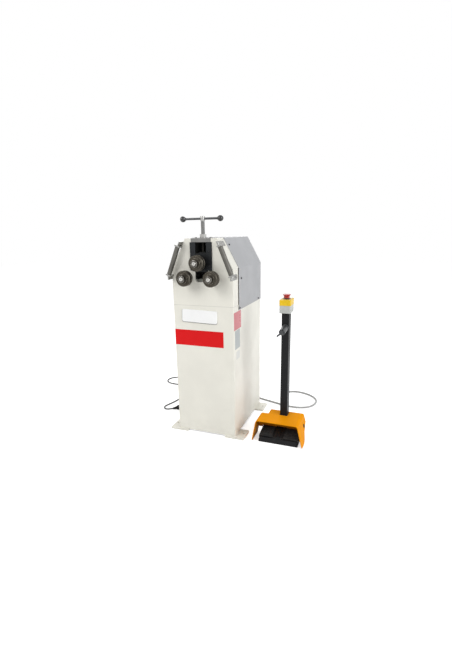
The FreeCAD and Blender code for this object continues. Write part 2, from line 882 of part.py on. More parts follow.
def shaft_gear(side):
    """A shaft gear, turned so that a gap takes the pinion's nearest tooth."""
    x = side * roll_spacing / 2
    pinion_z = pinion_place()
    towards = math.degrees(math.atan2(lower_axis_z - pinion_z, x))
    pitch = 360.0 / pinion_teeth
    nearest = 90 + round((towards - 90) / pitch) * pitch
    shift = nearest - towards
    gap_angle = towards + 180 - shift * pinion_teeth / shaft_gear_teeth
    phase = gap_angle + 180.0 / shaft_gear_teeth
    wheel = gear(x, lower_axis_z, shaft_gear_teeth, gear_depth, gear_depth + gear_width, phase, roll_bore_r)
    hub0 = head_depth + 2
    hub = rod_y(x, lower_axis_z, gear_hub_r, hub0, gear_depth).cut(
        rod_y(x, lower_axis_z, roll_bore_r, hub0 - 1, gear_depth + 1))
    return wheel.fuse(hub).removeSplitter()


def drive_pinion():
    z = pinion_place()
    wheel = gear(0, z, pinion_teeth, gear_depth - 2, gear_depth + gear_width + 2, 90, pinion_shaft_r)
    shaft_end = drive_plate_depth + drive_plate_thick + gearbox_depth / 2
    shaft = rod_y(0, z, pinion_shaft_r, gear_depth - 6, shaft_end)
    return wheel.fuse(shaft).removeSplitter()


def gearbox_plate():
    plate = block(-drive_plate_half, drive_plate_half, at(drive_plate_depth),
                  at(drive_plate_depth + drive_plate_thick), drive_plate_low, drive_plate_high)
    plate = plate.cut(rod_y(0, pinion_place(), pinion_shaft_r + 3, drive_plate_depth - 1,
                            drive_plate_depth + drive_plate_thick + 1))
    for side in (-1, 1):
        for x, z in (spacer_low, spacer_high):
            plate = plate.fuse(rod_y(side * x, z, spacer_r, head_depth, drive_plate_depth))
    return plate


def gearbox():
    z = pinion_place()
    depth0 = drive_plate_depth + drive_plate_thick
    body = block(-gearbox_half, gearbox_half, at(depth0), at(depth0 + gearbox_depth),
                 z - gearbox_below, z + gearbox_above)
    body = round_edges(body, 12.0, is_along_y)
    cover = rod_y(0, z, gearbox_half - 12, depth0 + gearbox_depth, depth0 + gearbox_depth + 6)
    bore = rod_y(0, z, pinion_shaft_r + 2 * running_clearance, depth0 - 1, depth0 + gearbox_depth / 2 + 1)
    return body.fuse(cover).cut(bore)


def drive_motor():
    y = at(drive_plate_depth + drive_plate_thick + gearbox_depth / 2)
    top = pinion_place() - gearbox_below
    body_top = top - motor_flange
    body_low = body_top - motor_length
    fan_low = body_low - fan_cover_length
    motor = turned_z([(0, top), (motor_flange_r, top), (motor_flange_r, body_top), (motor_r - 6, body_top),
                      (motor_r - 6, body_low), (fan_cover_r, body_low), (fan_cover_r, fan_low + 10),
                      (fan_cover_r - 10, fan_low), (0, fan_low)], 0, y)
    for fin in range(motor_fins):
        angle = 360.0 * fin / motor_fins
        rib = block(motor_r - 8, motor_r, y - 1.5, y + 1.5, body_low, body_top)
        rib.rotate(Vector(0, y, 0), Vector(0, 0, 1), angle)
        motor = motor.fuse(rib)
    terminal = block(motor_r - 10, motor_r + 38, y - 35, y + 35, body_top - 100, body_top - 20)
    return motor.fuse(terminal)


def control_box():
    x0 = -half_width + column_wall
    y0 = at(control_box_depth)
    box = block(x0, x0 + control_box_out, y0, y0 + control_box_length,
                control_box_low, control_box_low + control_box_height)
    groove = block(x0 + control_box_out - control_lid, x0 + control_box_out - control_lid + 2,
                   y0 - 1, y0 + control_box_length + 1, control_box_low - 1,
                   control_box_low + control_box_height + 1)
    core = block(x0, x0 + control_box_out, y0 + 2, y0 + control_box_length - 2,
                 control_box_low + 2, control_box_low + control_box_height - 2)
    return box.cut(groove.cut(core))


# ---------------------------------------------------------------- pedal station
def pedal_spans():
    """Left and right edge of each pedal."""
    return ((pedal_x - pedal_inner - pedal_width, pedal_x - pedal_inner),
            (pedal_x + pedal_inner, pedal_x + pedal_inner + pedal_width))


def pivot_depth():
    return pedal_front + pivot_setback


def pedal_base():
    x0 = pedal_x - base_width / 2
    x1 = pedal_x + base_width / 2
    front = pedal_front
    back = pedal_front + base_length
    tower_front = back - tower_depth
    base = block(x0, x1, at(front), at(back), 0, base_floor)
    base = round_edges(base, sill_thick, is_vertical)
    sill = block(x0 + sill_thick, x1 - sill_thick, at(front), at(front + sill_thick),
                 base_floor - 1, sill_height)
    tower = block(tower_x - tower_half, tower_x + tower_half, at(tower_front), at(back),
                  base_floor - 1, tower_top)
    tower = round_edges(tower, tower_round,
                        lambda edge: is_along_y(edge) and edge.BoundBox.ZMin > tower_top - 1)
    base = base.fuse(sill).fuse(tower)
    inner = pedal_inner - 1
    for half, rise in ((inner, 0), (rib_half, rib_rise)):
        ridge = prism_yz([(front + 2, base_floor - 1), (tower_front + 1, base_floor - 1),
                          (tower_front + 1, block_back_top + rise), (front + 2, block_front_top + rise)],
                         pedal_x - half, pedal_x + half)
        base = base.fuse(ridge)
    for side in (-1, 1):
        lug_in = pedal_x + side * (pedal_inner + pedal_width + pedal_side_gap)
        lug_out = pedal_x + side * base_width / 2
        base = base.fuse(block(min(lug_in, lug_out), max(lug_in, lug_out), at(pivot_depth() - lug_half),
                               at(pivot_depth() + lug_half), base_floor - 1, pivot_z + lug_half))
    pin_hole = rod(Vector(x0 - 1, at(pivot_depth()), pivot_z), Vector(x1 + 1, at(pivot_depth()), pivot_z),
                   pivot_r + running_clearance)
    return base.cut(pin_hole).removeSplitter()


def pedal_pivot_pin():
    x0 = pedal_x - base_width / 2
    x1 = pedal_x + base_width / 2
    return rod(Vector(x0, at(pivot_depth()), pivot_z), Vector(x1, at(pivot_depth()), pivot_z), pivot_r)


def pedal(span):
    """A treadle that rises to the rear from its pivot; its rear goes down under the toes."""
    left, right = span
    front = pedal_front + pedal_setback
    back = front + pedal_length
    rise = pedal_length * math.tan(math.radians(pedal_tilt))
    profile = [(front, pedal_top - pedal_lip), (front + 5, pedal_top - pedal_lip),
               (front + 5, pedal_top - pedal_plate), (back, pedal_top - pedal_plate + rise),
               (back, pedal_top + rise), (front + 3, pedal_top), (front, pedal_top - 3)]
    plate = prism_yz(profile, left, right)
    knuckle = rod(Vector(left, at(pivot_depth()), pivot_z), Vector(right, at(pivot_depth()), pivot_z),
                  knuckle_r)
    web = block(left, right, at(pivot_depth() - 4), at(pivot_depth() + 4), pivot_z, pedal_top - 3)
    bore = rod(Vector(left - 1, at(pivot_depth()), pivot_z), Vector(right + 1, at(pivot_depth()), pivot_z),
               pivot_r + pivot_clearance)
    return plate.fuse(knuckle).fuse(web).cut(bore)


def hood_section(left, right, inset, low):
    """Outline across X of a bent sheet with rounded shoulders, moved inwards by inset."""
    top = pedal_hood_top - inset
    radius = pedal_hood_round - inset
    ends = []
    for side, wing in ((-1, left), (1, right)):
        x_floor, lean = wing
        x_floor -= side * inset * math.hypot(1, lean)
        corner = Vector(x_floor - side * lean * top, 0, top)
        foot = Vector(x_floor - side * lean * low, 0, low)
        down = foot.sub(corner).normalize()
        turn = math.acos(down.dot(Vector(side, 0, 0)))
        cut = radius * math.tan(turn / 2)
        on_top = corner.sub(Vector(side * cut, 0, 0))
        centre = on_top.sub(Vector(0, 0, radius))
        middle = centre.add(corner.sub(centre).normalize() * radius)
        ends.append((on_top, middle, corner.add(down * cut), foot))
    near, far = ends
    edges = [Part.LineSegment(near[3], near[2]), Part.Arc(near[2], near[1], near[0]),
             Part.LineSegment(near[0], far[0]), Part.Arc(far[0], far[1], far[2]),
             Part.LineSegment(far[2], far[3]), Part.LineSegment(far[3], near[3])]
    return Part.Wire([edge.toShape() for edge in edges])


def bent_solid(left, right, inset, low, depth0, depth1):
    face = Part.Face(hood_section(left, right, inset, low))
    face.translate(Vector(0, at(depth0), 0))
    return face.extrude(Vector(0, depth1 - depth0, 0))


def is_along_x(edge):
    flat = edge.BoundBox.YLength < 1e-6 and edge.BoundBox.ZLength < 1e-6
    return flat and edge.BoundBox.XLength > 1e-6


def hood_side_view(heel, x0, x1):
    """The pedal hood seen from a side; heel is the lower rear of its outline."""
    above = pedal_hood_top + 1
    view = prism_yz([(pedal_hood_front_low, seat_gap)] + list(heel)
                    + [(pedal_hood_back, above), (pedal_hood_front_top, above)], x0, x1)
    return round_edges(view, pedal_hood_tip, lambda edge: is_along_x(edge) and edge.BoundBox.ZMax < 1
                       and edge.BoundBox.YMin < at(pedal_hood_front_low + 1))


def pedal_hood():
    left, right = hood_left_wing, hood_right_wing
    back = pedal_hood_back + 5
    outer = bent_solid(left, right, 0, seat_gap, -5, back)
    inner = bent_solid(left, right, pedal_hood_sheet, seat_gap - 5, -6, back + 1)
    left_view = hood_side_view([(pedal_hood_back, seat_gap)], left[0] - 5, pedal_x)
    heel = [(depth, z + seat_gap) for depth, z in hood_right_heel]
    right_view = hood_side_view(heel, pedal_x, right[0] + 5)
    return outer.cut(inner).common(left_view.fuse(right_view).removeSplitter())


def cover_side_view(inset, low):
    """The rear cover seen from its side, moved inwards by inset at its rear and top."""
    top = pedal_hood_top - inset
    view = prism_yz([(pedal_hood_back - 1, low), (cover_back_low - inset, low), (cover_back_top - inset, top),
                     (pedal_hood_back - 1, top)], cover_left_wing[0] - 5, hood_right_wing[0] + 5)
    return round_edges(view, cover_back_round - inset, lambda edge: is_along_x(edge)
                       and edge.BoundBox.ZMin > top - 1 and edge.BoundBox.YMin > at(pedal_hood_back + 5))


def pole_cover():
    """The cover behind the pedal hood, over the rear housing, with a skirt at the sides and rear."""
    left, right = cover_left_wing, hood_right_wing
    back = cover_back_low + 5
    low = cover_lower_edge[0][1]
    outer = bent_solid(left, right, 0, low, pedal_hood_back + seat_gap, back).common(cover_side_view(0, low))
    inner = bent_solid(left, right, pedal_hood_sheet, low - 5, pedal_hood_back - 1, back)
    inner = inner.common(cover_side_view(pedal_hood_sheet, low - 5))
    below = prism_yz(list(cover_lower_edge) + [(back, cover_lower_edge[-1][1]), (back, low - 6),
                                               (cover_lower_edge[0][0], low - 6)],
                     left[0] - 6, right[0] + 6)
    return outer.cut(inner).cut(below)


def pole():
    y0 = at(pedal_hood_back + seat_gap)
    outer = block(pole_left, pole_left + pole_width, y0, y0 + pole_length, pedal_hood_top, pole_top)
    outer = round_edges(outer, pole_corner, is_vertical)
    inner = block(pole_left + pole_wall, pole_left + pole_width - pole_wall, y0 + pole_wall,
                  y0 + pole_length - pole_wall, pedal_hood_top - 1, pole_top + 1)
    inner = round_edges(inner, pole_corner - 2, is_vertical)
    return outer.cut(inner)


def station_centre():
    """Middle of the stop button's box, over the pole."""
    return pole_left + pole_width / 2, at(pedal_hood_back + seat_gap) + pole_length / 2


def station_block(low, high, grow):
    x, y = station_centre()
    half_x = station_width / 2 + grow
    half_y = station_length / 2 + grow
    box = block(x - half_x, x + half_x, y - half_y, y + half_y, low, high)
    return round_edges(box, station_corner, is_vertical)


def estop_box_base():
    box = station_block(pole_top, pole_top + station_base, 0)
    lower = [edge for edge in box.Edges if edge.BoundBox.ZMax < pole_top + 0.01]
    return box.makeChamfer(1.5, lower)


def estop_box_lid():
    low = pole_top + station_base
    high = low + station_lid
    box = station_block(low, high, 0.6)
    upper = [edge for edge in box.Edges if edge.BoundBox.ZMin > high - 0.01]
    box = box.makeFillet(3.0, upper)
    x, y = station_centre()
    well = rod(Vector(x, y, high - button_travel - 14), Vector(x, y, high + 1), button_neck_r + 1)
    return box.cut(well)


def estop_stem():
    x, y = station_centre()
    top = pole_top + station_base + station_lid
    return turned_z([(0, top - button_travel - 4), (button_neck_r, top - button_travel - 4),
                     (button_neck_r, top + button_neck - 2), (button_stem_r, top + button_neck - 2),
                     (button_stem_r, top + button_neck + 8), (0, top + button_neck + 8)], x, y)


def estop_cap():
    x, y = station_centre()
    low = pole_top + station_base + station_lid + button_neck - 2 + seat_gap
    high = low + button_height
    bore_top = pole_top + station_base + station_lid + button_neck + 8 + seat_gap
    bore = button_stem_r + 2 * running_clearance
    return turned_z([(bore, low), (button_low_r, low), (button_low_r + 0.8, low + button_height * 0.55),
                     (button_top_r, high - 5), (button_top_r, high - 3), (button_top_r - 3, high - 0.6),
                     (0, high), (0, bore_top), (bore, bore_top)], x, y)


def selector_place():
    """Point on the pole's front face that the selector stands on."""
    return Vector(pole_left + pole_width / 2, at(pedal_hood_back + seat_gap), selector_z)


def droop(shape):
    """Turn a shape about the selector's place, so that its front end hangs a little."""
    shape.rotate(selector_place(), Vector(1, 0, 0), selector_droop)
    return shape


def selector_body():
    place = selector_place()
    back = pedal_hood_back + seat_gap
    flange = turned_y([(0, back), (selector_flange_r, back), (selector_flange_r, back - selector_flange + 1),
                       (selector_flange_r - 1, back - selector_flange), (0, back - selector_flange)],
                      place.x, place.z)
    root = back - selector_flange / 2
    front = back - selector_length
    body = turned_y([(0, root), (selector_r, root), (selector_r, front + 2), (selector_r - 2, front),
                     (0, front)], place.x, place.z)
    return flange.fuse(droop(body)).removeSplitter()


def selector_handle():
    place = selector_place()
    back = pedal_hood_back + seat_gap - selector_length - seat_gap
    front = back - selector_grip
    boss = turned_y([(0, back), (selector_boss_r, back), (selector_boss_r, front + 3),
                     (selector_boss_r - 3, front), (0, front)], place.x, place.z)
    arm = block(place.x - selector_arm, place.x + selector_tail, at(front), at(back),
                place.z - selector_arm_half, place.z + selector_arm_half)
    arm = round_edges(arm, selector_arm_half - 0.5, is_along_y)
    arm.rotate(place, Vector(0, 1, 0), -selector_rest_angle)
    return droop(boss.fuse(arm).removeSplitter())


# ---------------------------------------------------------------- cords
def lead_route():
    """Mains lead, from the gland on the rear wall to the plug: (x, depth, z)."""
    low = lead_d / 2
    return [(lead_gland_x, body_depth + gland_length + seat_gap, gland_z), (lead_gland_x, 604, gland_z),
            (-126, 634, 48), (-138, 660, 31), (-158, 686, 15), (-188, 711, 6), (-230, 730, low),
            (-288, 748, low), (-354, 768, low), (-420, 796, low), (-484, 826, low), (-548, 850, low),
            (-606, 866, low), (-656, 864, low), (-696, 842, low), (-716, 802, low), (-708, 756, low),
            (-676, 722, low), (-630, 706, low), (-576, 706, low), (-520, 700, low), (-472, 672, low),
            (-440, 624, low), (-426, 566, low), (-420, 506, low), (-421, 446, low), (-427, 396, low),
            (-438, 352, low), (-454, 309, low), (-464, 272, low), (-448, 242, low), (-416, 231, low),
            (-370, 252, plug_z)]


def cable_route():
    """Control cable, from the gland on the rear wall to the pedal base: (x, depth, z)."""
    low = cable_d / 2
    over = 22.0
    end_depth = pedal_front + base_length + gland_length + seat_gap
    return [(cable_gland_x, body_depth + gland_length + seat_gap, gland_z), (cable_gland_x, 606, gland_z),
            (-8, 640, 50), (20, 664, 36), (56, 674, 22), (96, 670, 11), (140, 656, low), (182, 638, low),
            (228, 621, low), (276, 607, low), (330, 588, low), (388, 570, low), (446, 562, low),
            (504, 570, low), (554, 596, low), (584, 644, low), (595, 704, low), (582, 762, low),
            (546, 808, low), (496, 842, low), (440, 860, low), (384, 856, low), (340, 824, low),
            (320, 772, low), (326, 716, 8.5), (342, 664, 15.0), (358, 612, over), (376, 552, over),
            (392, 498, 15.0), (402, 444, 8.5), (406, 388, low), (414, 340, 9.0), (428, 296, 18.0),
            (pedal_gland_x, 250, pedal_gland_z), (pedal_gland_x, end_depth, pedal_gland_z)]


def cord_tube(route, diameter, label):
    """A round cord along straight runs joined by tangent arcs."""
    points = [Vector(x, at(depth), z) for x, depth, z in route]
    edges = []
    radii = []
    start = points[0]
    length = 0.0
    for before, corner, after in zip(points, points[1:], points[2:]):
        inwards = before.sub(corner)
        outwards = after.sub(corner)
        run = min(inwards.Length, outwards.Length)
        inwards.normalize()
        outwards.normalize()
        turn = math.pi - inwards.getAngle(outwards)
        trim = arc_share * run
        radius = trim / math.tan(turn / 2)
        arc_start = corner.add(inwards * trim)
        arc_end = corner.add(outwards * trim)
        middle_line = inwards.add(outwards).normalize()
        centre = corner.add(middle_line * (radius / math.cos(turn / 2)))
        arc_middle = centre.sub(middle_line * radius)
        edges.append(Part.LineSegment(start, arc_start).toShape())
        edges.append(Part.Arc(arc_start, arc_middle, arc_end).toShape())
        length += arc_start.distanceToPoint(start) + radius * turn
        radii.append(radius)
        start = arc_end
    edges.append(Part.LineSegment(start, points[-1]).toShape())
    length += points[-1].distanceToPoint(start)
    path = Part.Wire(edges)
    heading = points[1].sub(points[0])
    ring = Part.Wire(Part.makeCircle(diameter / 2, points[0], heading))
    tube = path.makePipeShell([ring], True, False)
    expected = math.pi * diameter ** 2 / 4 * length
    print(label, "length", round(length), "tightest radius", round(min(radii), 1),
          "volume over section times length", round(tube.Volume / expected, 4))
    print(label, "radii", [round(radius) for radius in radii])
    return tube


def gland(base, direction):
    """A cable gland: a hexagonal flange and a domed nut, standing on a wall."""
    nose = base.add(direction * gland_length)
    flange = Part.makeCylinder(gland_flange_r, gland_flange, base, direction)
    cone = Part.makeCone(gland_flange_r - 1, gland_nose_r, gland_length - gland_flange,
                         base.add(direction * gland_flange), direction)
    return flange.fuse(cone).common(rod(base, nose, gland_flange_r + 1))


def cable_glands():
    back = Vector(0, 1, 0)
    return group([gland(Vector(lead_gland_x, rear_y, gland_z), back),
                  gland(Vector(cable_gland_x, rear_y, gland_z), back),
                  gland(Vector(pedal_gland_x, at(pedal_front + base_length), pedal_gland_z), back)])


def mains_plug():
    x, depth, z = lead_route()[-1]
    heading = math.radians(plug_heading)
    tilt = math.radians(plug_tilt)
    along = Vector(math.cos(heading) * math.cos(tilt), math.sin(heading) * math.cos(tilt), math.sin(tilt))
    sideways = Vector(-math.sin(heading), math.cos(heading), 0)
    start = Vector(x, at(depth), z).add(along * seat_gap)
    neck = Part.makeCone(plug_small_r, plug_big_r - 4, plug_length * 0.45, start, along)
    body_start = start.add(along * (plug_length * 0.45))
    body = Part.makeCone(plug_big_r - 4, plug_big_r, plug_length * 0.55, body_start, along)
    plug = neck.fuse(body)
    for side in (-1, 1):
        root = start.add(along * plug_length).add(sideways * (side * plug_pin_half))
        plug = plug.fuse(rod(root.sub(along * 2), root.add(along * plug_pin_length), plug_pin_r))
    return plug


def main():
    os.makedirs("parts", exist_ok=True)
    save("column", column())
    save("foot_plates", foot_plates())
    save("rear_panel", rear_panel())
    save("head_frame", head_frame())
    save("rear_bearing_plate", rear_bearing_plate())
    save("top_hood", top_hood())
    save("keeper_plates", keeper_plates())
    save("spindle_bridge", spindle_bridge())
    save("nut_washer", nut_washer())
    save("spindle_nut", spindle_nut())
    save("slot_stop_bar", slot_stop_bar())
    save("rear_keepers", rear_keepers())
    save("slide_gibs", slide_gibs())
    save("lower_bearings", lower_bearings())
    save("guide_brackets", guide_brackets())
    save("guide_axles", guide_axles())
    save("gearbox_plate", gearbox_plate())
    save("gearbox", gearbox())
    save("drive_motor", drive_motor())
    save("control_box", control_box())
    save("slide_block", slide_block())
    save("upper_bearings", upper_bearings())
    save("spindle_keeper", spindle_keeper())
    save("spindle", spindle())
    save("tommy_bar", tommy_bar())
    save("ball_knobs", ball_knobs())
    save("upper_shaft", upper_shaft())
    save("upper_rear_disc", rear_disc(0, upper_axis_z))
    save("upper_front_disc", front_disc(0, upper_axis_z))
    save("upper_roll_nut", roll_nut(0, upper_axis_z))
    for name, side in (("left", -1), ("right", 1)):
        x = side * roll_spacing / 2
        save(name + "_shaft", lower_shaft(side))
        save(name + "_rear_disc", rear_disc(x, lower_axis_z))
        save(name + "_front_disc", front_disc(x, lower_axis_z))
        save(name + "_roll_nut", roll_nut(x, lower_axis_z))
        save(name + "_shaft_gear", shaft_gear(side))
        save(name + "_guide_roller", guide_roller(side))
    save("drive_pinion", drive_pinion())
    save("pedal_base", pedal_base())
    save("pedal_pivot_pin", pedal_pivot_pin())
    for name, span in zip(("left_pedal", "right_pedal"), pedal_spans()):
        save(name, pedal(span))
    save("pedal_hood", pedal_hood())
    save("pole_cover", pole_cover())
    save("pole", pole())
    save("estop_box_base", estop_box_base())
    save("estop_box_lid", estop_box_lid())
    save("estop_stem", estop_stem())
    save("estop_cap", estop_cap())
    save("selector_body", selector_body())
    save("selector_handle", selector_handle())
    save("cable_glands", cable_glands())
    save("mains_plug", mains_plug())
    save("mains_lead", cord_tube(lead_route(), lead_d, "mains lead"))
    save("control_cable", cord_tube(cable_route(), cable_d, "control cable"))


main()
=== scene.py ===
import math

import bmesh
import bpy
from bpy.props import FloatProperty, FloatVectorProperty, IntProperty, PointerProperty
from bpy.types import Operator, Panel, PropertyGroup
from mathutils import Matrix, Vector


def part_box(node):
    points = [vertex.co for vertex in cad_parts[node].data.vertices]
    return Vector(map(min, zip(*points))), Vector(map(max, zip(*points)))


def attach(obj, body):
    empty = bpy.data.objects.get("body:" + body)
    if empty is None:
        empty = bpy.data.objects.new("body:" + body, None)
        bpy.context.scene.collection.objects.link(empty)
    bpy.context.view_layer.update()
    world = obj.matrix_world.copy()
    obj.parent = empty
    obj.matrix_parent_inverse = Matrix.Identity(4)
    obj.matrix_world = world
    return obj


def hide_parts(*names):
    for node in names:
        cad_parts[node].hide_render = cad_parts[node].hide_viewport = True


bl_info = {
    "name": "Ring roller dress",
    "version": (1, 0, 0),
    "blender": (4, 5, 0),
    "location": "3D View > Sidebar > Ring roller",
    "description": "Finishes, cords, plates, screws and fittings of a ring roller and its pedal station",
    "category": "Object",
}

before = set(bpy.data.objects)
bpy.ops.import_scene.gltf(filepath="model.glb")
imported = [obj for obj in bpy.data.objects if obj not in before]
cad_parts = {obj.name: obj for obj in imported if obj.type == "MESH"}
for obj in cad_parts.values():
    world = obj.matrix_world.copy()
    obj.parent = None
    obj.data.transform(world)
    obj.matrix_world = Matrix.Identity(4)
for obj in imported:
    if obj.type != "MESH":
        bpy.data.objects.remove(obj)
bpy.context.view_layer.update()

FRONT = -0.277              # y of the machine's front face
RIGHT = 0.1945              # x of its right wall
SEAM = 0.836                # height of the joint between column and head
JOINT_HALF_WIDTH = 0.0013   # of the line drawn there
FOIL, FOIL_EDGE = 0.0005, 0.0001    # thickness of a sticker and its eased edge
WING_LEAN = 0.243           # sideways lean of the foot hood's right wing
OIL_STAIN = (0.5, 0.45, 0.4)        # what an oil film leaves of each colour
GLANDS = ((-0.12, 0.277, 0.058), (-0.02, 0.277, 0.058), (0.44, FRONT + 0.19, 0.03))   # lead, cable, pedals
SIDES = (-1, 1)
UP = Vector((0, 0, 1))
FORWARD = Vector((0, -1, 0))


# --- settings
def colour_setting(name, description, default):
    return FloatVectorProperty(name=name, description=description, default=default, size=3,
                               min=0.0, max=1.0, subtype="COLOR")


def length_setting(name, description, default):
    return FloatProperty(name=name, description=description, default=default, min=0.0, unit="LENGTH",
                         subtype="DISTANCE", precision=4)


class RollerColours(PropertyGroup):
    cream: colour_setting("Cream", "Powder coat of the column and the head", (0.8, 0.78, 0.7))
    hood_grey: colour_setting("Hood grey", "Paint of the hood over the drive", (0.385, 0.388, 0.4))
    orange: colour_setting("Orange", "Paint of the foot hood and the pole's cover", (0.86, 0.32, 0.004))
    pole_black: colour_setting("Pole black", "Paint of the pole", (0.012, 0.0125, 0.0135))
    steel: colour_setting("Steel", "Bare ground steel", (0.2, 0.2, 0.196))
    roll_brown: colour_setting("Roll brown", "Oil-dark steel of the rolls", (0.072, 0.065, 0.053))
    keeper_black: colour_setting("Keeper black", "Blackened steel of the keepers", (0.022, 0.024, 0.026))
    lid_yellow: colour_setting("Lid yellow", "Lid of the stop button's box", (0.8, 0.52, 0.01))
    box_grey: colour_setting("Box grey", "Base of the stop button's box", (0.47, 0.48, 0.455))
    stop_red: colour_setting("Stop red", "Mushroom cap of the stop button", (0.4, 0.008, 0.012))
    band_red: colour_setting("Band red", "Vinyl band across the column", (0.7, 0.006, 0.008))
    cable_grey: colour_setting("Cable grey", "Sheath of the control cable", (0.43, 0.43, 0.425))


class RollerSizes(PropertyGroup):
    badge_width: length_setting("Badge width", "Width of the bare badge plate", 0.23)
    badge_height: length_setting("Badge height", "Height of the bare badge plate", 0.079)
    badge_depth: length_setting("Badge thickness", "How far the badge plate stands out", 0.006)
    band_width: length_setting("Band width", "Length of the red band, from the left edge", 0.3235)
    band_height: length_setting("Band height", "Height of the red band", 0.098)
    thread_pitch: length_setting("Thread pitch", "Pitch of the hand screw", 0.005)
    thread_depth: length_setting("Thread depth", "Depth of the hand screw's thread", 0.0005)
    plain_shank: length_setting("Plain shank", "Unthreaded length below the hand screw's head", 0.022)
    lead_diameter: length_setting("Mains lead", "Diameter of the mains lead", 0.0095)
    cable_diameter: length_setting("Control cable", "Diameter of the control cable", 0.013)
    tread_pitch: length_setting("Tread pitch", "Distance between the ribs of the pedal treads", 0.008)
    tread_height: length_setting("Tread height", "Height of the ribs of the pedal treads", 0.0022)
    turned_segments: IntProperty(name="Turned segments", description="Faces round a turned piece",
                                 default=48, min=16, max=128)


def sizes():
    return bpy.context.scene.roller_sizes


def colours():
    return bpy.context.scene.roller_colours


# --- shader nodes
def put(tree, socket, value):
    """Links a socket to another one, or sets it to a plain value."""
    if isinstance(value, bpy.types.NodeSocket):
        tree.links.new(value, socket)
    elif value is not None:
        socket.default_value = value


def add_node(tree, kind, inputs=(), **settings):
    """A new shader node with its settings, and its inputs by name or number."""
    node = tree.nodes.new("ShaderNode" + kind)
    for title, value in settings.items():
        setattr(node, title, value)
    for title, value in dict(inputs).items():
        put(tree, node.inputs[title], value)
    return node


def empty_tree(owner):
    owner.use_nodes = True
    owner.node_tree.nodes.clear()
    return owner.node_tree


def maths(tree, operation, first, second, clamp=False):
    return add_node(tree, "Math", {0: first, 1: second}, operation=operation, use_clamp=clamp).outputs[0]


def vector_maths(tree, operation, first, second=None, output="Vector"):
    return add_node(tree, "VectorMath", {0: first, 1: second}, operation=operation).outputs[output]


def ramp(tree, value, low, high, to_low=0.0, to_high=1.0):
    limits = {"Value": value, "From Min": low, "From Max": high, "To Min": to_low, "To Max": to_high}
    return add_node(tree, "MapRange", limits, interpolation_type="SMOOTHSTEP").outputs["Result"]


def noise(tree, vector, scale, detail=3.0):
    look = {"Vector": vector, "Scale": scale, "Detail": detail, "Roughness": 0.6}
    return add_node(tree, "TexNoise", look).outputs["Fac"]


# --- shared shader effects
# Each takes its node group and the group's inputs, and returns what the group gives.
def height_of(group, given):
    return add_node(group, "SeparateXYZ", {0: given["Vector"]}).outputs["Z"]


def normal_of(group):
    return add_node(group, "NewGeometry").outputs["Normal"]


def in_patches(group, given, mask, scale, detail, low, high):
    """A mask broken up by noise and held to the effect's amount."""
    patches = ramp(group, noise(group, given["Vector"], scale, detail), low, high)
    return maths(group, "MULTIPLY", maths(group, "MULTIPLY", mask, patches), given["Amount"], clamp=True)


def grain(group, given):
    """Fine relief: orange peel in paint, moulding grain, or brushing when it is stretched."""
    stretched = vector_maths(group, "MULTIPLY", given["Vector"], given["Stretch"])
    return [noise(group, stretched, given["Scale"])]


def blotches(group, given):
    """Large soft patches, for uneven colour, oil and rubbed places."""
    return [ramp(group, noise(group, given["Vector"], given["Scale"], 5.0), given["Low"], given["High"])]


def edge_wear(group, given):
    """Rubbed edges, and a normal that rounds every sharp edge a little."""
    rounded = add_node(group, "Bevel", {"Radius": given["Radius"]}, samples=4).outputs["Normal"]
    alike = vector_maths(group, "DOT_PRODUCT", rounded, normal_of(group), "Value")
    edge = ramp(group, maths(group, "SUBTRACT", 1.0, alike), 0.01, 0.14)
    return [in_patches(group, given, edge, given["Break Scale"], 3.0, 0.42, 0.6), rounded]


def turned_rings(group, given):
    """Fine grooves left by turning; the vector's Z runs along the axis."""
    parts = add_node(group, "SeparateXYZ", {0: given["Vector"]}).outputs
    flat = add_node(group, "CombineXYZ", {"X": parts["X"], "Y": parts["Y"]}).outputs[0]
    radius = vector_maths(group, "LENGTH", flat, output="Value")
    across, along = (maths(group, "DIVIDE", length, given["Pitch"]) for length in (radius, parts["Z"]))
    return [noise(group, add_node(group, "CombineXYZ", {"X": across, "Y": along}).outputs[0], 1.0, 2.0)]


def settled_dust(group, given):
    """Dust that lies on what faces up."""
    upward = add_node(group, "SeparateXYZ", {0: normal_of(group)}).outputs["Z"]
    return [in_patches(group, given, ramp(group, upward, 0.35, 1.0), given["Scale"], 6.0, 0.3, 0.75)]


def floor_grime(group, given):
    """Scuffs and dirt that fade out above the floor."""
    low = ramp(group, height_of(group, given), 0.0, given["Reach"], 1.0, 0.0)
    return [in_patches(group, given, low, 18.0, 6.0, 0.3, 0.7)]


def scratches(group, given):
    """Thin scratches along one direction, set by the stretch."""
    stretched = vector_maths(group, "MULTIPLY", given["Vector"], given["Stretch"])
    line = ramp(group, noise(group, stretched, given["Scale"], 2.0), 0.64, 0.7)
    return [maths(group, "MULTIPLY", line, given["Amount"], clamp=True)]


def inner_side(group, given):
    """Marks the faces of a bent sheet that look towards a centre, for painted shade on them."""
    outward = vector_maths(group, "SUBTRACT", given["Vector"], given["Centre"])
    leaning = vector_maths(group, "DOT_PRODUCT", outward, normal_of(group), "Value")
    return [ramp(group, leaning, -0.02, -0.012, 1.0, 0.0)]


def grease(group, given):
    """Marks what lies below a level, for painted shade on the part of a screw that runs down into the head.
    """
    depth = maths(group, "SUBTRACT", given["Level"], height_of(group, given))
    return [ramp(group, depth, -0.003, 0.003)]


def joint_line(group, given):
    """Marks a thin level line where two painted sheets meet."""
    away = maths(group, "SUBTRACT", height_of(group, given), given["Height"])
    return [ramp(group, maths(group, "MULTIPLY", away, away), 0.0, JOINT_HALF_WIDTH ** 2, 1.0, 0.0)]


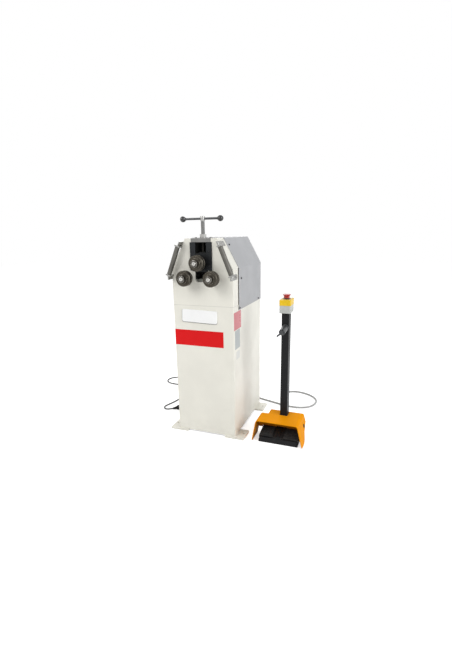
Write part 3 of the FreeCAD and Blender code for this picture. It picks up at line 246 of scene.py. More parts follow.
EFFECTS = (
    (grain, ("Height",), {"Scale": 800.0, "Stretch": (1, 1, 1)}),
    (blotches, ("Mask",), {"Scale": 10.0, "Low": 0.35, "High": 0.65}),
    (edge_wear, ("Mask", "Normal"), {"Radius": 0.0015, "Amount": 0.5, "Break Scale": 120.0}),
    (turned_rings, ("Height",), {"Pitch": 0.0006}),
    (settled_dust, ("Mask",), {"Amount": 0.3, "Scale": 40.0}),
    (floor_grime, ("Mask",), {"Reach": 0.15, "Amount": 0.3}),
    (scratches, ("Mask",), {"Scale": 60.0, "Stretch": (1, 1, 12), "Amount": 0.3}),
    (inner_side, ("Mask",), {"Centre": (0, 0, 0)}),
    (grease, ("Mask",), {"Level": 0.0}),
    (joint_line, ("Mask",), {"Height": 0.0}),
)


def build_effects():
    """Makes the shared node groups; each takes a vector and its named inputs."""
    for make, outputs, inputs in EFFECTS:
        title = make.__name__.replace("_", " ").capitalize()
        group = bpy.data.node_groups.new(title, "ShaderNodeTree")
        for name, value in {"Vector": None, **inputs}.items():
            kind = "NodeSocketFloat" if isinstance(value, float) else "NodeSocketVector"
            socket = group.interface.new_socket(name=name, in_out="INPUT", socket_type=kind)
            if value is not None:
                socket.default_value = value
        for name in outputs:
            kind = "NodeSocketVector" if name == "Normal" else "NodeSocketFloat"
            group.interface.new_socket(name=name, in_out="OUTPUT", socket_type=kind)
        given = group.nodes.new("NodeGroupInput").outputs
        result = group.nodes.new("NodeGroupOutput").inputs
        for name, value in zip(outputs, make(group, given)):
            put(group, result[name], value)


# --- finishes
class Finish:
    """One material, built from its coordinates to its shader."""

    def __init__(self, name, roughness, metallic=0.0, coat=0.0, specular=0.5):
        self.material = bpy.data.materials.new(name)
        self.tree = empty_tree(self.material)
        self.shader = add_node(self.tree, "BsdfPrincipled", {
            "Roughness": roughness, "Metallic": metallic, "Coat Weight": coat, "Coat Roughness": 0.12,
            "Specular IOR Level": specular})
        add_node(self.tree, "OutputMaterial", {"Surface": self.shader.outputs["BSDF"]})
        self.coords = add_node(self.tree, "TexCoord").outputs["Object"]

    def group(self, name, vector=None, **values):
        """The outputs of a shared effect with these inputs."""
        inputs = {title.replace("_", " "): value for title, value in values.items()}
        inputs["Vector"] = vector or self.coords
        return add_node(self.tree, "Group", inputs, node_tree=bpy.data.node_groups[name]).outputs

    def effect(self, name, vector=None, **values):
        return self.group(name, vector, **values)[0]

    def mix(self, mask, first, second):
        return add_node(self.tree, "Mix", {"Factor": mask, "A": first, "B": second},
                        data_type="RGBA").outputs["Result"]

    def worn(self, shade, bare, radius, wear, break_scale):
        """A shade whose edges are rubbed to a bare one, and the normal that rounds them."""
        edge = self.group("Edge wear", Radius=radius, Amount=wear, Break_Scale=break_scale)
        return self.mix(edge["Mask"], shade, bare), edge["Normal"]

    def along_axis(self, point, axis):
        """Coordinates whose Z runs along a turning axis through a point."""
        turn = Vector(axis).to_track_quat("Z", "Y").to_euler()
        return add_node(self.tree, "Mapping", {"Vector": self.coords, "Location": point, "Rotation": turn},
                        vector_type="TEXTURE").outputs["Vector"]

    def add(self, first, second):
        return maths(self.tree, "ADD", first, second)

    def spread(self, value, low, high, to_low, to_high):
        return ramp(self.tree, value, low, high, to_low, to_high)

    def close(self, shade, gloss, height, strength, distance, normal):
        """Feeds the shader its colour, roughness and relief."""
        bump = add_node(self.tree, "Bump", {"Strength": strength, "Distance": distance, "Height": height,
                                            "Normal": normal}).outputs["Normal"]
        for title, value in (("Base Color", shade), ("Roughness", gloss), ("Normal", bump)):
            put(self.tree, self.shader.inputs[title], value)


def rgba(colour, factor=1.0):
    return tuple(min(1.0, part * factor) for part in tuple(colour)[:3]) + (1.0,)


def painted(name, colour, roughness=0.4, peel=0.12, wear=0.25, under=(0.2, 0.2, 0.2), grime=0.15, dust=0.12,
            coat=0.0, specular=0.5, inside=None, centre=(0, 0, 0), joint=None):
    """Powder coat or sprayed paint on metal; faces of a bent sheet that look towards its centre can be
    painted a darker colour as shade.
    """
    work = Finish(name, roughness, coat=coat, specular=specular)
    patch = work.effect("Blotches", Scale=5.0)
    shade = work.mix(patch, rgba(colour), rgba(colour, 0.955))
    shade = work.mix(work.effect("Scratches", Amount=0.1), shade, rgba(colour, 0.75))
    shade = work.mix(work.effect("Floor grime", Amount=grime), shade, (0.16, 0.14, 0.11, 1))
    dusty = work.effect("Settled dust", Amount=dust)
    shade = work.mix(dusty, shade, (0.62, 0.6, 0.55, 1))
    # Faces of the sheet that look towards its centre take the darker colour: painted shade.
    if inside is not None:
        shade = work.mix(work.effect("Inner side", Centre=centre), shade, rgba(inside))
    if joint is not None:
        shade = work.mix(work.effect("Joint line", Height=joint), shade, rgba(colour, 0.68))
    shade, normal = work.worn(shade, rgba(under), 0.0015, wear, 70.0)
    gloss = work.add(work.spread(patch, 0.0, 1.0, roughness - 0.03, roughness + 0.05), dusty)
    work.close(shade, gloss, work.effect("Grain", Scale=420.0), peel, 0.0004, normal)


def turned_steel(name, colour, roughness=0.32, point=(0, 0, 0), axis=(0, 1, 0), pitch=0.0007, depth=0.25,
                 stained=0.5, wear=0.5, radius=0.0008, rub=1.9, greased=None):
    """Bare steel from the lathe, with rings round its axis and a film of oil."""
    work = Finish(name, roughness, metallic=1.0)
    rings = work.effect("Turned rings", work.along_axis(point, axis), Pitch=pitch)
    film = work.effect("Blotches", Scale=35.0, Low=0.38, High=0.66)
    dark = [part * share for part, share in zip(colour, OIL_STAIN)]
    shade = work.mix(maths(work.tree, "MULTIPLY", film, stained), rgba(colour), rgba(dark))
    shade = work.mix(work.spread(rings, 0.35, 0.65, 0.0, 0.35), shade, rgba(colour, 0.7))
    # Edges lighten to the colour times this factor; large factors, as on the rolls and nuts, paint highlights
    # on the rims as well as wear.
    shade, normal = work.worn(shade, rgba(colour, rub), radius, wear, 160.0)
    # Below the level the screw turns nearly black: painted shade in the head's slot.
    if greased is not None:
        shade = work.mix(work.effect("Grease", Level=greased), shade, (0.02, 0.019, 0.017, 1))
    gloss = work.add(work.spread(rings, 0.3, 0.7, roughness - 0.06, roughness + 0.08),
                     maths(work.tree, "MULTIPLY", film, 0.1))
    work.close(shade, gloss, rings, depth, 0.0002, normal)


def ground_steel(name, colour, roughness=0.34, stretch=(40, 2, 2), scale=60.0, depth=0.15, wear=0.5,
                 stained=0.35, metallic=1.0):
    """Flat ground or blackened steel, brushed along one direction."""
    work = Finish(name, roughness, metallic=metallic)
    lines = work.effect("Grain", Scale=scale, Stretch=stretch)
    film = work.effect("Blotches", Scale=22.0)
    shade = work.mix(maths(work.tree, "MULTIPLY", film, stained), rgba(colour), rgba(colour, 0.55))
    shade = work.mix(work.spread(lines, 0.3, 0.7, 0.0, 0.3), shade, rgba(colour, 0.75))
    shade, normal = work.worn(shade, rgba(colour, 2.4), 0.0008, wear, 140.0)
    gloss = work.spread(lines, 0.25, 0.75, roughness - 0.07, roughness + 0.1)
    work.close(shade, gloss, lines, depth, 0.0002, normal)


def moulded(name, colour, roughness=0.45, grain=0.15, scale=900.0, wear=0.2, dust=0.1, grime=0.0, coat=0.0,
            specular=0.5):
    """Moulded plastic or rubber."""
    work = Finish(name, roughness, coat=coat, specular=specular)
    patch = work.effect("Blotches", Scale=14.0)
    shade = work.mix(patch, rgba(colour), rgba(colour, 0.93))
    shade, normal = work.worn(shade, rgba([0.55 * part + 0.18 for part in colour]), 0.0008, wear, 200.0)
    dusty = work.effect("Settled dust", Amount=dust, Scale=90.0)
    shade = work.mix(dusty, shade, (0.5, 0.48, 0.44, 1))
    if grime:
        shade = work.mix(work.effect("Floor grime", Amount=grime, Reach=0.05), shade, (0.2, 0.18, 0.15, 1))
    gloss = work.add(work.spread(patch, 0.0, 1.0, roughness - 0.04, roughness + 0.06), dusty)
    work.close(shade, gloss, work.effect("Grain", Scale=scale), grain, 0.0002, normal)


def turned_about(node, axis=(0, 1, 0)):
    """The turning axis of a node, through its middle."""
    low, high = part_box(node)
    return {"point": tuple((low + high) / 2), "axis": axis}


def look(build, colour, material, nodes="", **values):
    """One row of the finishes: its maker, colour or colour setting, material name, CAD nodes and values."""
    return build, colour, material, nodes.split(), values


# Rolls and nuts get strongly lightened edges: wear and painted highlights on their rims.
ROLL_EDGES = dict(roughness=0.34, depth=0.6, wear=1.0, radius=0.002, rub=5.0)
NUT_EDGES = dict(roughness=0.2, depth=1.0, pitch=0.0009, wear=1.0, radius=0.0022, rub=6.0)
FLAT_PRINT = dict(peel=0.05, wear=0.0, grime=0.0)
UPRIGHT = (2, 2, 40)
EVEN = dict(stretch=(6, 6, 6), scale=200.0)

FINISHES = dict(
    cream_powder_coat=look(painted, "cream", "cream_paint", "column head_frame rear_panel foot_plates",
        roughness=0.38, wear=0.1, grime=0.1, dust=0.05, under=(0.45, 0.43, 0.38), joint=SEAM),
    hood_paint=look(painted, "hood_grey", "grey_paint", "top_hood", roughness=0.42, wear=0.15, grime=0.0,
        peel=0.1),
    # The foot hood's faces that look towards its centre get a darker, deeper orange: painted shade.
    pedal_orange=look(painted, "orange", "orange_paint", "pedal_hood pole_cover", roughness=0.5, wear=0.06,
        grime=0.1, dust=0.0, specular=0.02, under=(0.45, 0.2, 0.05), inside=(0.52, 0.18, 0.003),
        centre=(0.463, -0.2, 0.03)),
    pole_paint=look(painted, "pole_black", "pedal_coat", "pole", roughness=0.42, wear=0.2, grime=0.0,
        dust=0.03, specular=0.12),
    treadle_coat=look(painted, (0.01, 0.01, 0.011), "pedal_coat", "left_pedal right_pedal", roughness=0.5,
        peel=0.35, wear=0.3, dust=0.04, specular=0.12),
    drive_paint=look(painted, (0.06, 0.085, 0.11), "dark_paint", "gearbox drive_motor control_box",
        roughness=0.45, peel=0.3),
    keeper_steel=look(ground_steel, "keeper_black", "black_steel", "keeper_plates", roughness=0.4,
        metallic=0.75, stretch=UPRIGHT),
    slide_steel=look(ground_steel, (0.01, 0.011, 0.012), "black_steel",
        "slide_block spindle_keeper rear_keepers", roughness=0.42, metallic=0.6, stretch=UPRIGHT, wear=0.3),
    bracket_steel=look(ground_steel, (0.34, 0.337, 0.322), "plate_steel", "guide_brackets", roughness=0.3,
        stretch=(2, 40, 2), stained=0.2),
    bar_end_steel=look(ground_steel, (0.32, 0.33, 0.3), "plate_steel", "slot_stop_bar", roughness=0.5),
    plate_steel=look(ground_steel, (0.33, 0.325, 0.31), "plate_steel", "rear_bearing_plate gearbox_plate",
        roughness=0.4),
    bridge_steel=look(ground_steel, (0.215, 0.212, 0.205), "ground_steel", "spindle_bridge", roughness=0.4),
    shaft_steel=look(turned_steel, (0.56, 0.55, 0.52), "roll_steel", "upper_shaft left_shaft right_shaft",
        roughness=0.22, pitch=0.0009, depth=1.0, stained=0.2),
    gib_steel=look(ground_steel, (0.15, 0.155, 0.145), "black_steel", "slide_gibs", roughness=0.45,
        stretch=UPRIGHT),
    guide_roller_steel=look(ground_steel, (0.14, 0.134, 0.12), "ground_steel",
        "left_guide_roller right_guide_roller", roughness=0.46, stretch=(8, 8, 8), depth=0.08),
    # The hand screw is painted nearly black below 1.214 m as shade in the head's slot.
    spindle_steel=look(turned_steel, "steel", "ground_steel", "spindle", **turned_about("spindle", UP),
        roughness=0.3, stained=0.4, greased=1.214),
    bright_turned_steel=look(turned_steel, (0.4, 0.396, 0.385), "ground_steel", "nut_washer spindle_nut",
        **turned_about("spindle", UP), roughness=0.34, stained=0.3),
    bar_steel=look(moulded, (0.036, 0.038, 0.042), "ground_steel", "tommy_bar", roughness=0.3, grain=0.04,
        wear=0.0, dust=0.0),
    gear_steel=look(ground_steel, (0.3, 0.29, 0.27), "ground_steel",
        "left_shaft_gear right_shaft_gear drive_pinion", roughness=0.36, stretch=(4, 40, 4)),
    bearing_steel=look(turned_steel, (0.6, 0.6, 0.6), "bearing_steel", "lower_bearings upper_bearings",
        **turned_about("lower_bearings"), roughness=0.2, stained=0.1),
    bright_screw=look(ground_steel, (0.42, 0.415, 0.4), "ground_steel", "guide_axles pedal_pivot_pin", **EVEN,
        roughness=0.3),
    black_screw=look(ground_steel, (0.03, 0.03, 0.032), "black_steel", **EVEN, roughness=0.38, metallic=0.7),
    knob_bakelite=look(moulded, (0.012, 0.012, 0.013), "black_knob", "ball_knobs", roughness=0.16, grain=0.03,
        coat=0.4, dust=0.05),
    black_plastic=look(moulded, (0.012, 0.012, 0.0125), "black_plastic", "pedal_base cable_glands mains_plug",
        roughness=0.55, dust=0.03, wear=0.12, specular=0.15),
    tread_rubber=look(moulded, (0.022, 0.022, 0.022), "black_plastic", roughness=0.72, grain=0.4, wear=0.35,
        specular=0.1),
    box_plastic=look(moulded, "box_grey", "box_grey", "estop_box_base", roughness=0.42),
    lid_plastic=look(moulded, "lid_yellow", "box_yellow", "estop_box_lid", roughness=0.36, wear=0.1,
        specular=0.3),
    cap_plastic=look(moulded, "stop_red", "button_red", "estop_cap", roughness=0.24, grain=0.05, wear=0.1,
        coat=0.3, dust=0.04),
    stem_plastic=look(moulded, (0.06, 0.058, 0.055), "stem_plastic", "estop_stem"),
    selector_plastic=look(moulded, (0.03, 0.033, 0.037), "black_plastic", "selector_body selector_handle",
        roughness=0.34, wear=0.35),
    lead_rubber=look(moulded, (0.016, 0.016, 0.016), "lead_sheath", "mains_lead", roughness=0.55, scale=600.0,
        dust=0.15),
    cable_sheath=look(moulded, "cable_grey", "cable_sheath", "control_cable", roughness=0.5, scale=600.0,
        wear=0.0, grime=0.2),
    badge_enamel=look(painted, (0.9, 0.9, 0.89), "cream_paint", roughness=0.22, peel=0.03, wear=0.0,
        grime=0.0, coat=0.4),
    # Dark plate behind the badge: its rim and a painted shadow.
    badge_rim=look(ground_steel, (0.06, 0.06, 0.06), "plate_steel", roughness=0.35),
    band_vinyl=look(painted, "band_red", "cream_paint", **FLAT_PRINT, dust=0.0, specular=0.15),
    # The label's pale pinkish red is painted glare over the label's red.
    red_label=look(painted, (0.56, 0.13, 0.15), "cream_paint", **FLAT_PRINT, roughness=0.3),
    grey_label=look(painted, (0.4, 0.43, 0.43), "cream_paint", **FLAT_PRINT, roughness=0.35),
    pale_label=look(painted, (0.68, 0.68, 0.64), "cream_paint", **FLAT_PRINT, roughness=0.35),
    pin_brass=look(turned_steel, (0.6, 0.56, 0.48), "ground_steel", roughness=0.22),
)
for SIDE in ("upper", "left", "right"):
    FINISHES[SIDE + "_roll_steel"] = look(
        turned_steel, "roll_brown", "roll_steel", f"{SIDE}_rear_disc {SIDE}_front_disc",
        **turned_about(SIDE + "_front_disc"), **ROLL_EDGES)
    FINISHES[SIDE + "_nut_steel"] = look(
        turned_steel, (0.13, 0.124, 0.112), "nut_steel", SIDE + "_roll_nut",
        **turned_about(SIDE + "_roll_nut"), **NUT_EDGES)


def finish(name):
    """A material by name, made when it is first asked for."""
    title = name + "_finish"
    if title not in bpy.data.materials:
        build, colour, _, _, values = FINISHES[name]
        build(title, getattr(colours(), colour) if isinstance(colour, str) else colour, **values)
    return bpy.data.materials[title]


# --- making pieces
def add_object(name, data, finish_name, body):
    """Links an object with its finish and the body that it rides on."""
    data.materials.append(finish(finish_name))
    piece = bpy.data.objects.new(name, data)
    bpy.context.scene.collection.objects.link(piece)
    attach(piece, body)
    return piece


def new_mesh(name, bm):
    bmesh.ops.recalc_face_normals(bm, faces=bm.faces[:])
    mesh = bpy.data.meshes.new(name)
    bm.to_mesh(mesh)
    bm.free()
    return mesh


def finish_piece(name, bm, finish_name, body="machine", sharp=35.0):
    """Turns a bmesh into a piece with smooth shading and edges that are sharp above an angle."""
    mesh = new_mesh(name, bm)
    mesh.polygons.foreach_set("use_smooth", [True] * len(mesh.polygons))
    mesh.set_sharp_from_angle(angle=math.radians(sharp))
    return add_object(name, mesh, finish_name, body)


def facing(point, direction, spin=0.0):
    """A placement whose Z looks along a direction."""
    turn = Vector(direction).to_track_quat("Z", "Y").to_matrix().to_4x4()
    return Matrix.Translation(point) @ turn @ Matrix.Rotation(spin, 4, "Z")


def strip(bm, rows):
    """Faces between neighbouring rows of points, open along the rows."""
    for first, second in zip(rows, rows[1:]):
        for a in range(len(first) - 1):
            bm.faces.new((first[a], second[a], second[a + 1], first[a + 1]))


def middle_of(node):
    low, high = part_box(node)
    return low, high, (low + high) / 2


def polar(radius, angle):
    return radius * math.cos(angle), radius * math.sin(angle)


def circle(radius, count):
    return [polar(radius, 2 * math.pi * n / count) for n in range(count)]


def scaled(outline, factor):
    return [(x * factor, y * factor) for x, y in outline]


def ring_of(bm, outline, height, place):
    return [bm.verts.new(place @ Vector((x, y, height))) for x, y in outline]


def join_rings(bm, *rings):
    """Skins neighbouring rings of as many points."""
    for first, second in zip(rings, rings[1:]):
        for number in range(len(first)):
            after = (number + 1) % len(first)
            bm.faces.new((first[number], first[after], second[after], second[number]))


def skin(bm, place, *levels):
    """A skin through outlines at their heights; returns its rings."""
    rings = [ring_of(bm, outline, height, place) for outline, height in levels]
    join_rings(bm, *rings)
    return rings


def close_ends(bm, first, last):
    bm.faces.new(last)
    bm.faces.new(list(reversed(first)))


def draw_out(bm, *outlines):
    """A solid between two like outlines of points in space."""
    first, last = ([bm.verts.new(point) for point in outline] for outline in outlines)
    join_rings(bm, first, last)
    close_ends(bm, last, first)


def lathe(bm, profile, place, count, hollow=False):
    """Adds a turned form; profile is a list of (radius, height), and a radius of 0 closes it."""
    rings = [ring_of(bm, circle(radius, count), height, place) if radius else
             bm.verts.new(place @ Vector((0, 0, height))) for radius, height in profile]
    if hollow:
        rings.append(rings[0])
    for first, second in zip(rings, rings[1:]):
        if isinstance(first, list) and isinstance(second, list):
            join_rings(bm, first, second)
            continue
        tip, rim = (first, second) if isinstance(second, list) else (second, first)
        for number in range(count):
            bm.faces.new((tip, rim[number], rim[(number + 1) % count]))


def turned_piece(name, profile, place, finish_name, body="machine", count=None, sharp=35.0, hollow=False):
    bm = bmesh.new()
    lathe(bm, profile, place, count or sizes().turned_segments, hollow)
    return finish_piece(name, bm, finish_name, body, sharp)


def rounded_outline(width, height, corner, steps=6):
    points = []
    for sign_x, sign_y, start in ((1, 1, 0), (-1, 1, 90), (-1, -1, 180), (1, -1, 270)):
        for step in range(steps + 1):
            x, y = polar(corner, math.radians(start + 90 * step / steps))
            points.append((sign_x * (width / 2 - corner) + x, sign_y * (height / 2 - corner) + y))
    return points


def flat_plate(name, finish_name, width, height, corner, thickness, edge, place):
    """A flat plate with rounded corners and an eased front edge."""
    outer = rounded_outline(width, height, corner)
    inner = rounded_outline(width - 2 * edge, height - 2 * edge, corner - edge)
    bm = bmesh.new()
    rings = skin(bm, place, (outer, 0), (outer, thickness - edge), (inner, thickness))
    close_ends(bm, rings[0], rings[-1])
    finish_piece(name, bm, finish_name)


def hexagon_reach(angle, flat):
    return flat / math.cos((angle + math.pi / 6) % (math.pi / 3) - math.pi / 6)


def cross_reach(angle, flat):
    c, s = abs(math.cos(angle)) + 1e-6, abs(math.sin(angle)) + 1e-6
    arm = flat * 0.32
    return max(min(flat / c, arm / s), min(arm / c, flat / s))


def screw_head(bm, place, radius, height, recess, round_top=0.3, count=48):
    """A screw head with a hexagonal or cross recess."""
    reach, flat = (hexagon_reach, 0.42) if recess == "hex" else (cross_reach, 0.5)
    angles = [2 * math.pi * number / count for number in range(count)]
    socket = [polar(reach(angle, flat * radius), angle) for angle in angles]
    rim = circle(radius, count)
    rings = skin(bm, place, (rim, 0), (rim, (1 - round_top) * height),
                 (scaled(rim, 0.94), (1 - round_top * 0.35) * height), (scaled(rim, 0.82), height),
                 (socket, height), (scaled(socket, 0.92), 0.35 * height))
    bm.faces.new(rings[-1])


def screws(name, spots, radius, height, recess, finish_name, washer=0.0):
    """A group of like screws; each spot is a point and the direction its head looks."""
    bm = bmesh.new()
    for number, (point, normal) in enumerate(spots):
        normal = Vector(normal).normalized()
        start = Vector(point)
        if washer:
            lathe(bm, [(0, 0), (radius * 1.45, 0), (radius * 1.45, washer * 0.7), (radius * 1.38, washer),
                       (0, washer)], facing(start, normal), 32)
            start = start + normal * washer
        screw_head(bm, facing(start, normal, 0.7 * number), radius, height, recess)
    finish_piece(name, bm, finish_name)


def weld_bead(bm, path, radius, step=0.0022):
    """A rippled bead along a line of points."""
    rings = []
    for start, end in zip(path, path[1:]):
        start, end = Vector(start), Vector(end)
        turn = (end - start).normalized().to_track_quat("Z", "Y").to_matrix().to_4x4()
        count = max(2, int((end - start).length / step))
        for number in range(count + 1):
            ripple = 1.0 + 0.12 * math.sin(number * 2.1) + 0.05 * math.sin(number * 0.73)
            place = Matrix.Translation(start.lerp(end, number / count)) @ turn
            rings.append(ring_of(bm, circle(radius * ripple, 10), 0, place))
    join_rings(bm, *rings)
    for end in (rings[0], rings[-1]):
        bm.faces.new(end)


def cord_piece(name, route, diameter, finish_name, node):
    """A smooth round cord through the route's points, in place of a CAD node."""
    data = bpy.data.curves.new(name, "CURVE")
    data.dimensions = "3D"
    data.bevel_depth = diameter / 2
    data.bevel_resolution = 5
    data.resolution_u = 10
    data.use_fill_caps = True
    spline = data.splines.new("NURBS")
    spline.points.add(len(route) - 1)
    for spot, point in zip(spline.points, route):
        spot.co = (*point, 1.0)
    spline.order_u = 3
    spline.use_endpoint_u = True
    piece = add_object(name, data, finish_name, "machine")
    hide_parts(node)
    return piece


# --- stage
def seen_directly(tree):
    """1 for the camera, and for what mirrors and glass show; 0 for the rest of the light."""
    path = add_node(tree, "LightPath").outputs
    seen = maths(tree, "MAXIMUM", path["Is Camera Ray"], path["Is Glossy Ray"])
    return maths(tree, "MAXIMUM", seen, path["Is Transmission Ray"])


def soft_lamp(name, place, target, size, power, colour=(1, 1, 1)):
    data = bpy.data.lights.new(name, "AREA")
    data.shape = "SQUARE"
    data.size = size
    data.energy = power
    data.color = colour
    lamp = bpy.data.objects.new(name, data)
    lamp.location = place
    lamp.rotation_euler = (Vector(target) - Vector(place)).to_track_quat("-Z", "Y").to_euler()
    bpy.context.scene.collection.objects.link(lamp)


class ROLLER_OT_stage(Operator):
    """Set up the camera, the pale floor, the white surroundings and the soft lamps"""
    bl_idname = "roller.stage"
    bl_label = "Camera, floor and lamps"

    def execute(self, context):
        scene = context.scene
        self.add_camera(scene)
        scene.view_settings.view_transform = "Standard"
        scene.world = bpy.data.worlds.new("surroundings")
        tree = empty_tree(scene.world)
        light, white = (add_node(tree, "Background", {"Color": (1, 1, 1, 1), "Strength": strength}).outputs[0]
                        for strength in (0.5, 1.0))
        both = add_node(tree, "MixShader", {"Fac": seen_directly(tree), 1: light, 2: white}).outputs[0]
        add_node(tree, "OutputWorld", {"Surface": both})
        soft_lamp("key_lamp", (-2.2, -3.4, 3.4), (0.0, -0.1, 0.8), 2.4, 86.0)
        soft_lamp("right_lamp", (4.2, -1.4, 2.4), (0.1, 0.0, 0.6), 2.6, 112.0, (0.95, 0.975, 1.0))
        soft_lamp("back_lamp", (-0.8, 3.2, 3.2), (0.0, 0.0, 0.8), 2.6, 46.0)
        self.add_floor(scene)
        return {"FINISHED"}

    def add_camera(self, scene):
        data = bpy.data.cameras.new("camera")
        data.sensor_width = 36.0
        data.lens = 21.31
        data.clip_end = 60.0
        camera = bpy.data.objects.new("camera", data)
        scene.collection.objects.link(camera)
        yaw, pitch, roll = (math.radians(angle) for angle in (21.1548, 14.3126, -1.04))
        level = Vector((math.cos(yaw), math.sin(yaw), 0))
        ahead = Vector((-math.sin(yaw) * math.cos(pitch), math.cos(yaw) * math.cos(pitch), -math.sin(pitch)))
        above = level.cross(ahead)
        right = math.cos(roll) * level + math.sin(roll) * above
        top = math.cos(roll) * above - math.sin(roll) * level
        camera.matrix_world = Matrix.Translation((0.968, -2.4032, 1.25)) @ Matrix(
            (right, top, -ahead)).transposed().to_4x4()
        scene.camera = camera

    def add_floor(self, scene):
        bm = bmesh.new()
        bmesh.ops.create_grid(bm, x_segments=1, y_segments=1, size=15.0)
        mesh = new_mesh("floor", bm)
        floor = bpy.data.objects.new("floor", mesh)
        floor.location = (0, 0, -0.0008)
        scene.collection.objects.link(floor)
        material = bpy.data.materials.new("pale_floor")
        mesh.materials.append(material)
        tree = empty_tree(material)
        matt = add_node(tree, "BsdfDiffuse", {"Color": (0.86, 0.86, 0.86, 1)}).outputs[0]
        strength = maths(tree, "MULTIPLY", seen_directly(tree), 0.58)
        glow = add_node(tree, "Emission", {"Strength": strength}).outputs[0]
        both = add_node(tree, "AddShader", {0: matt, 1: glow}).outputs[0]
        add_node(tree, "OutputMaterial", {"Surface": both})


# --- cords
def laid(points, height):
    """A route whose points lie at this height where they give none."""
    return [(*point, height)[:3] for point in points]


def in_metres(points):
    return [tuple(part / 1000 for part in point) for point in points]


LEAD_ROUTE = in_metres(laid([
    (-120, 301, 58), (-120, 327, 58), (-126, 357, 48), (-138, 383, 31), (-158, 409, 15), (-188, 434, 6),
    (-230, 453), (-288, 471), (-354, 491), (-420, 519), (-484, 549), (-548, 573), (-606, 589), (-656, 587),
    (-696, 565), (-716, 525), (-708, 479), (-676, 445), (-630, 429), (-576, 429), (-520, 423), (-472, 395),
    (-440, 347), (-426, 289), (-420, 229), (-421, 169), (-427, 119), (-438, 75), (-454, 32), (-464, -5),
    (-448, -35), (-416, -46), (-370, -25, 12)], 4.75))

CABLE_ROUTE = in_metres(laid([
    (-20, 301, 58), (-20, 329, 58), (-8, 363, 50), (20, 387, 36), (56, 397, 22), (96, 393, 11), (140, 379),
    (182, 361), (228, 344), (276, 330), (330, 311), (388, 293), (446, 285), (504, 293), (554, 319),
    (584, 367), (595, 427), (582, 485), (546, 531), (496, 565), (440, 583), (384, 579), (340, 547),
    (320, 495), (326, 439, 8.5), (342, 387, 15), (358, 335, 22), (376, 275, 22), (392, 221, 15),
    (402, 167, 8.5), (406, 111), (414, 63, 9), (428, 19, 18), (440, -27, 30), (440, -63, 30)], 6.5))


class ROLLER_OT_cords(Operator):
    """Lay the mains lead with its plug, and the control cable, on the floor"""
    bl_idname = "roller.cords"
    bl_label = "Mains lead, plug and control cable"

    def execute(self, context):
        size = sizes()
        plug = self.plug()
        lead = cord_piece("mains_lead_cord", LEAD_ROUTE, size.lead_diameter, "lead_rubber", "mains_lead")
        cable = cord_piece("control_cable_cord", CABLE_ROUTE, size.cable_diameter, "cable_sheath",
                           "control_cable")
        return {"FINISHED"}

    def plug(self):
        """A moulded round plug with a ribbed sleeve and two pins."""
        heading, tilt = math.radians(24.0), math.radians(9.5)
        along = Vector((*polar(math.cos(tilt), heading), math.sin(tilt)))
        sleeve = [(0, -0.013), (0.0054, -0.013)]
        for rib in range(9):
            base = -0.0125 + rib * 0.0034
            grow = 0.0055 + rib * 0.0006
            sleeve += [(grow, base), (grow + 0.0013, base + 0.0005), (grow + 0.0013, base + 0.0019),
                       (grow, base + 0.0024)]
        body = [(0.0115, 0.0178), (0.014, 0.0195), (0.0158, 0.024), (0.0172, 0.03), (0.0176, 0.0302),
                (0.0176, 0.0312), (0.0173, 0.0314), (0.0182, 0.04), (0.0184, 0.043), (0.0176, 0.044),
                (0.015, 0.044), (0.015, 0.0432), (0, 0.0432)]
        place = facing(LEAD_ROUTE[-1], along)
        plug = turned_piece("plug_body", sleeve + body, place, "black_plastic", count=40)
        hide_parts("mains_plug")
        bm = bmesh.new()
        sideways = Vector((-math.sin(heading), math.cos(heading), 0))
        for side in SIDES:
            root = Vector(LEAD_ROUTE[-1]) + along * 0.043 + sideways * (side * 0.0095)
            lathe(bm, [(0, 0), (0.003, 0), (0.003, 0.0012), (0.0024, 0.0014), (0.0024, 0.018),
                       (0.0016, 0.0198), (0, 0.02)], facing(root, along), 24)
        pins = finish_piece("plug_pins", bm, "pin_brass")
        pins.parent = plug
        pins.matrix_parent_inverse = plug.matrix_world.inverted()
        return plug


# --- finishes on the CAD nodes
class ROLLER_OT_node_finishes(Operator):
    """Give every part of the machine its paint, steel or plastic"""
    bl_idname = "roller.node_finishes"
    bl_label = "Finishes of all parts"

    def execute(self, context):
        left = set(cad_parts)
        for name, row in FINISHES.items():
            for node in row[3]:
                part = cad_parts[node]
                if not part.material_slots:
                    part.data.materials.append(None)
                for slot in part.material_slots:
                    slot.material = finish(name)
                left.discard(node)
        if left:
            raise RuntimeError("no finish for " + ", ".join(sorted(left)))
        return {"FINISHED"}


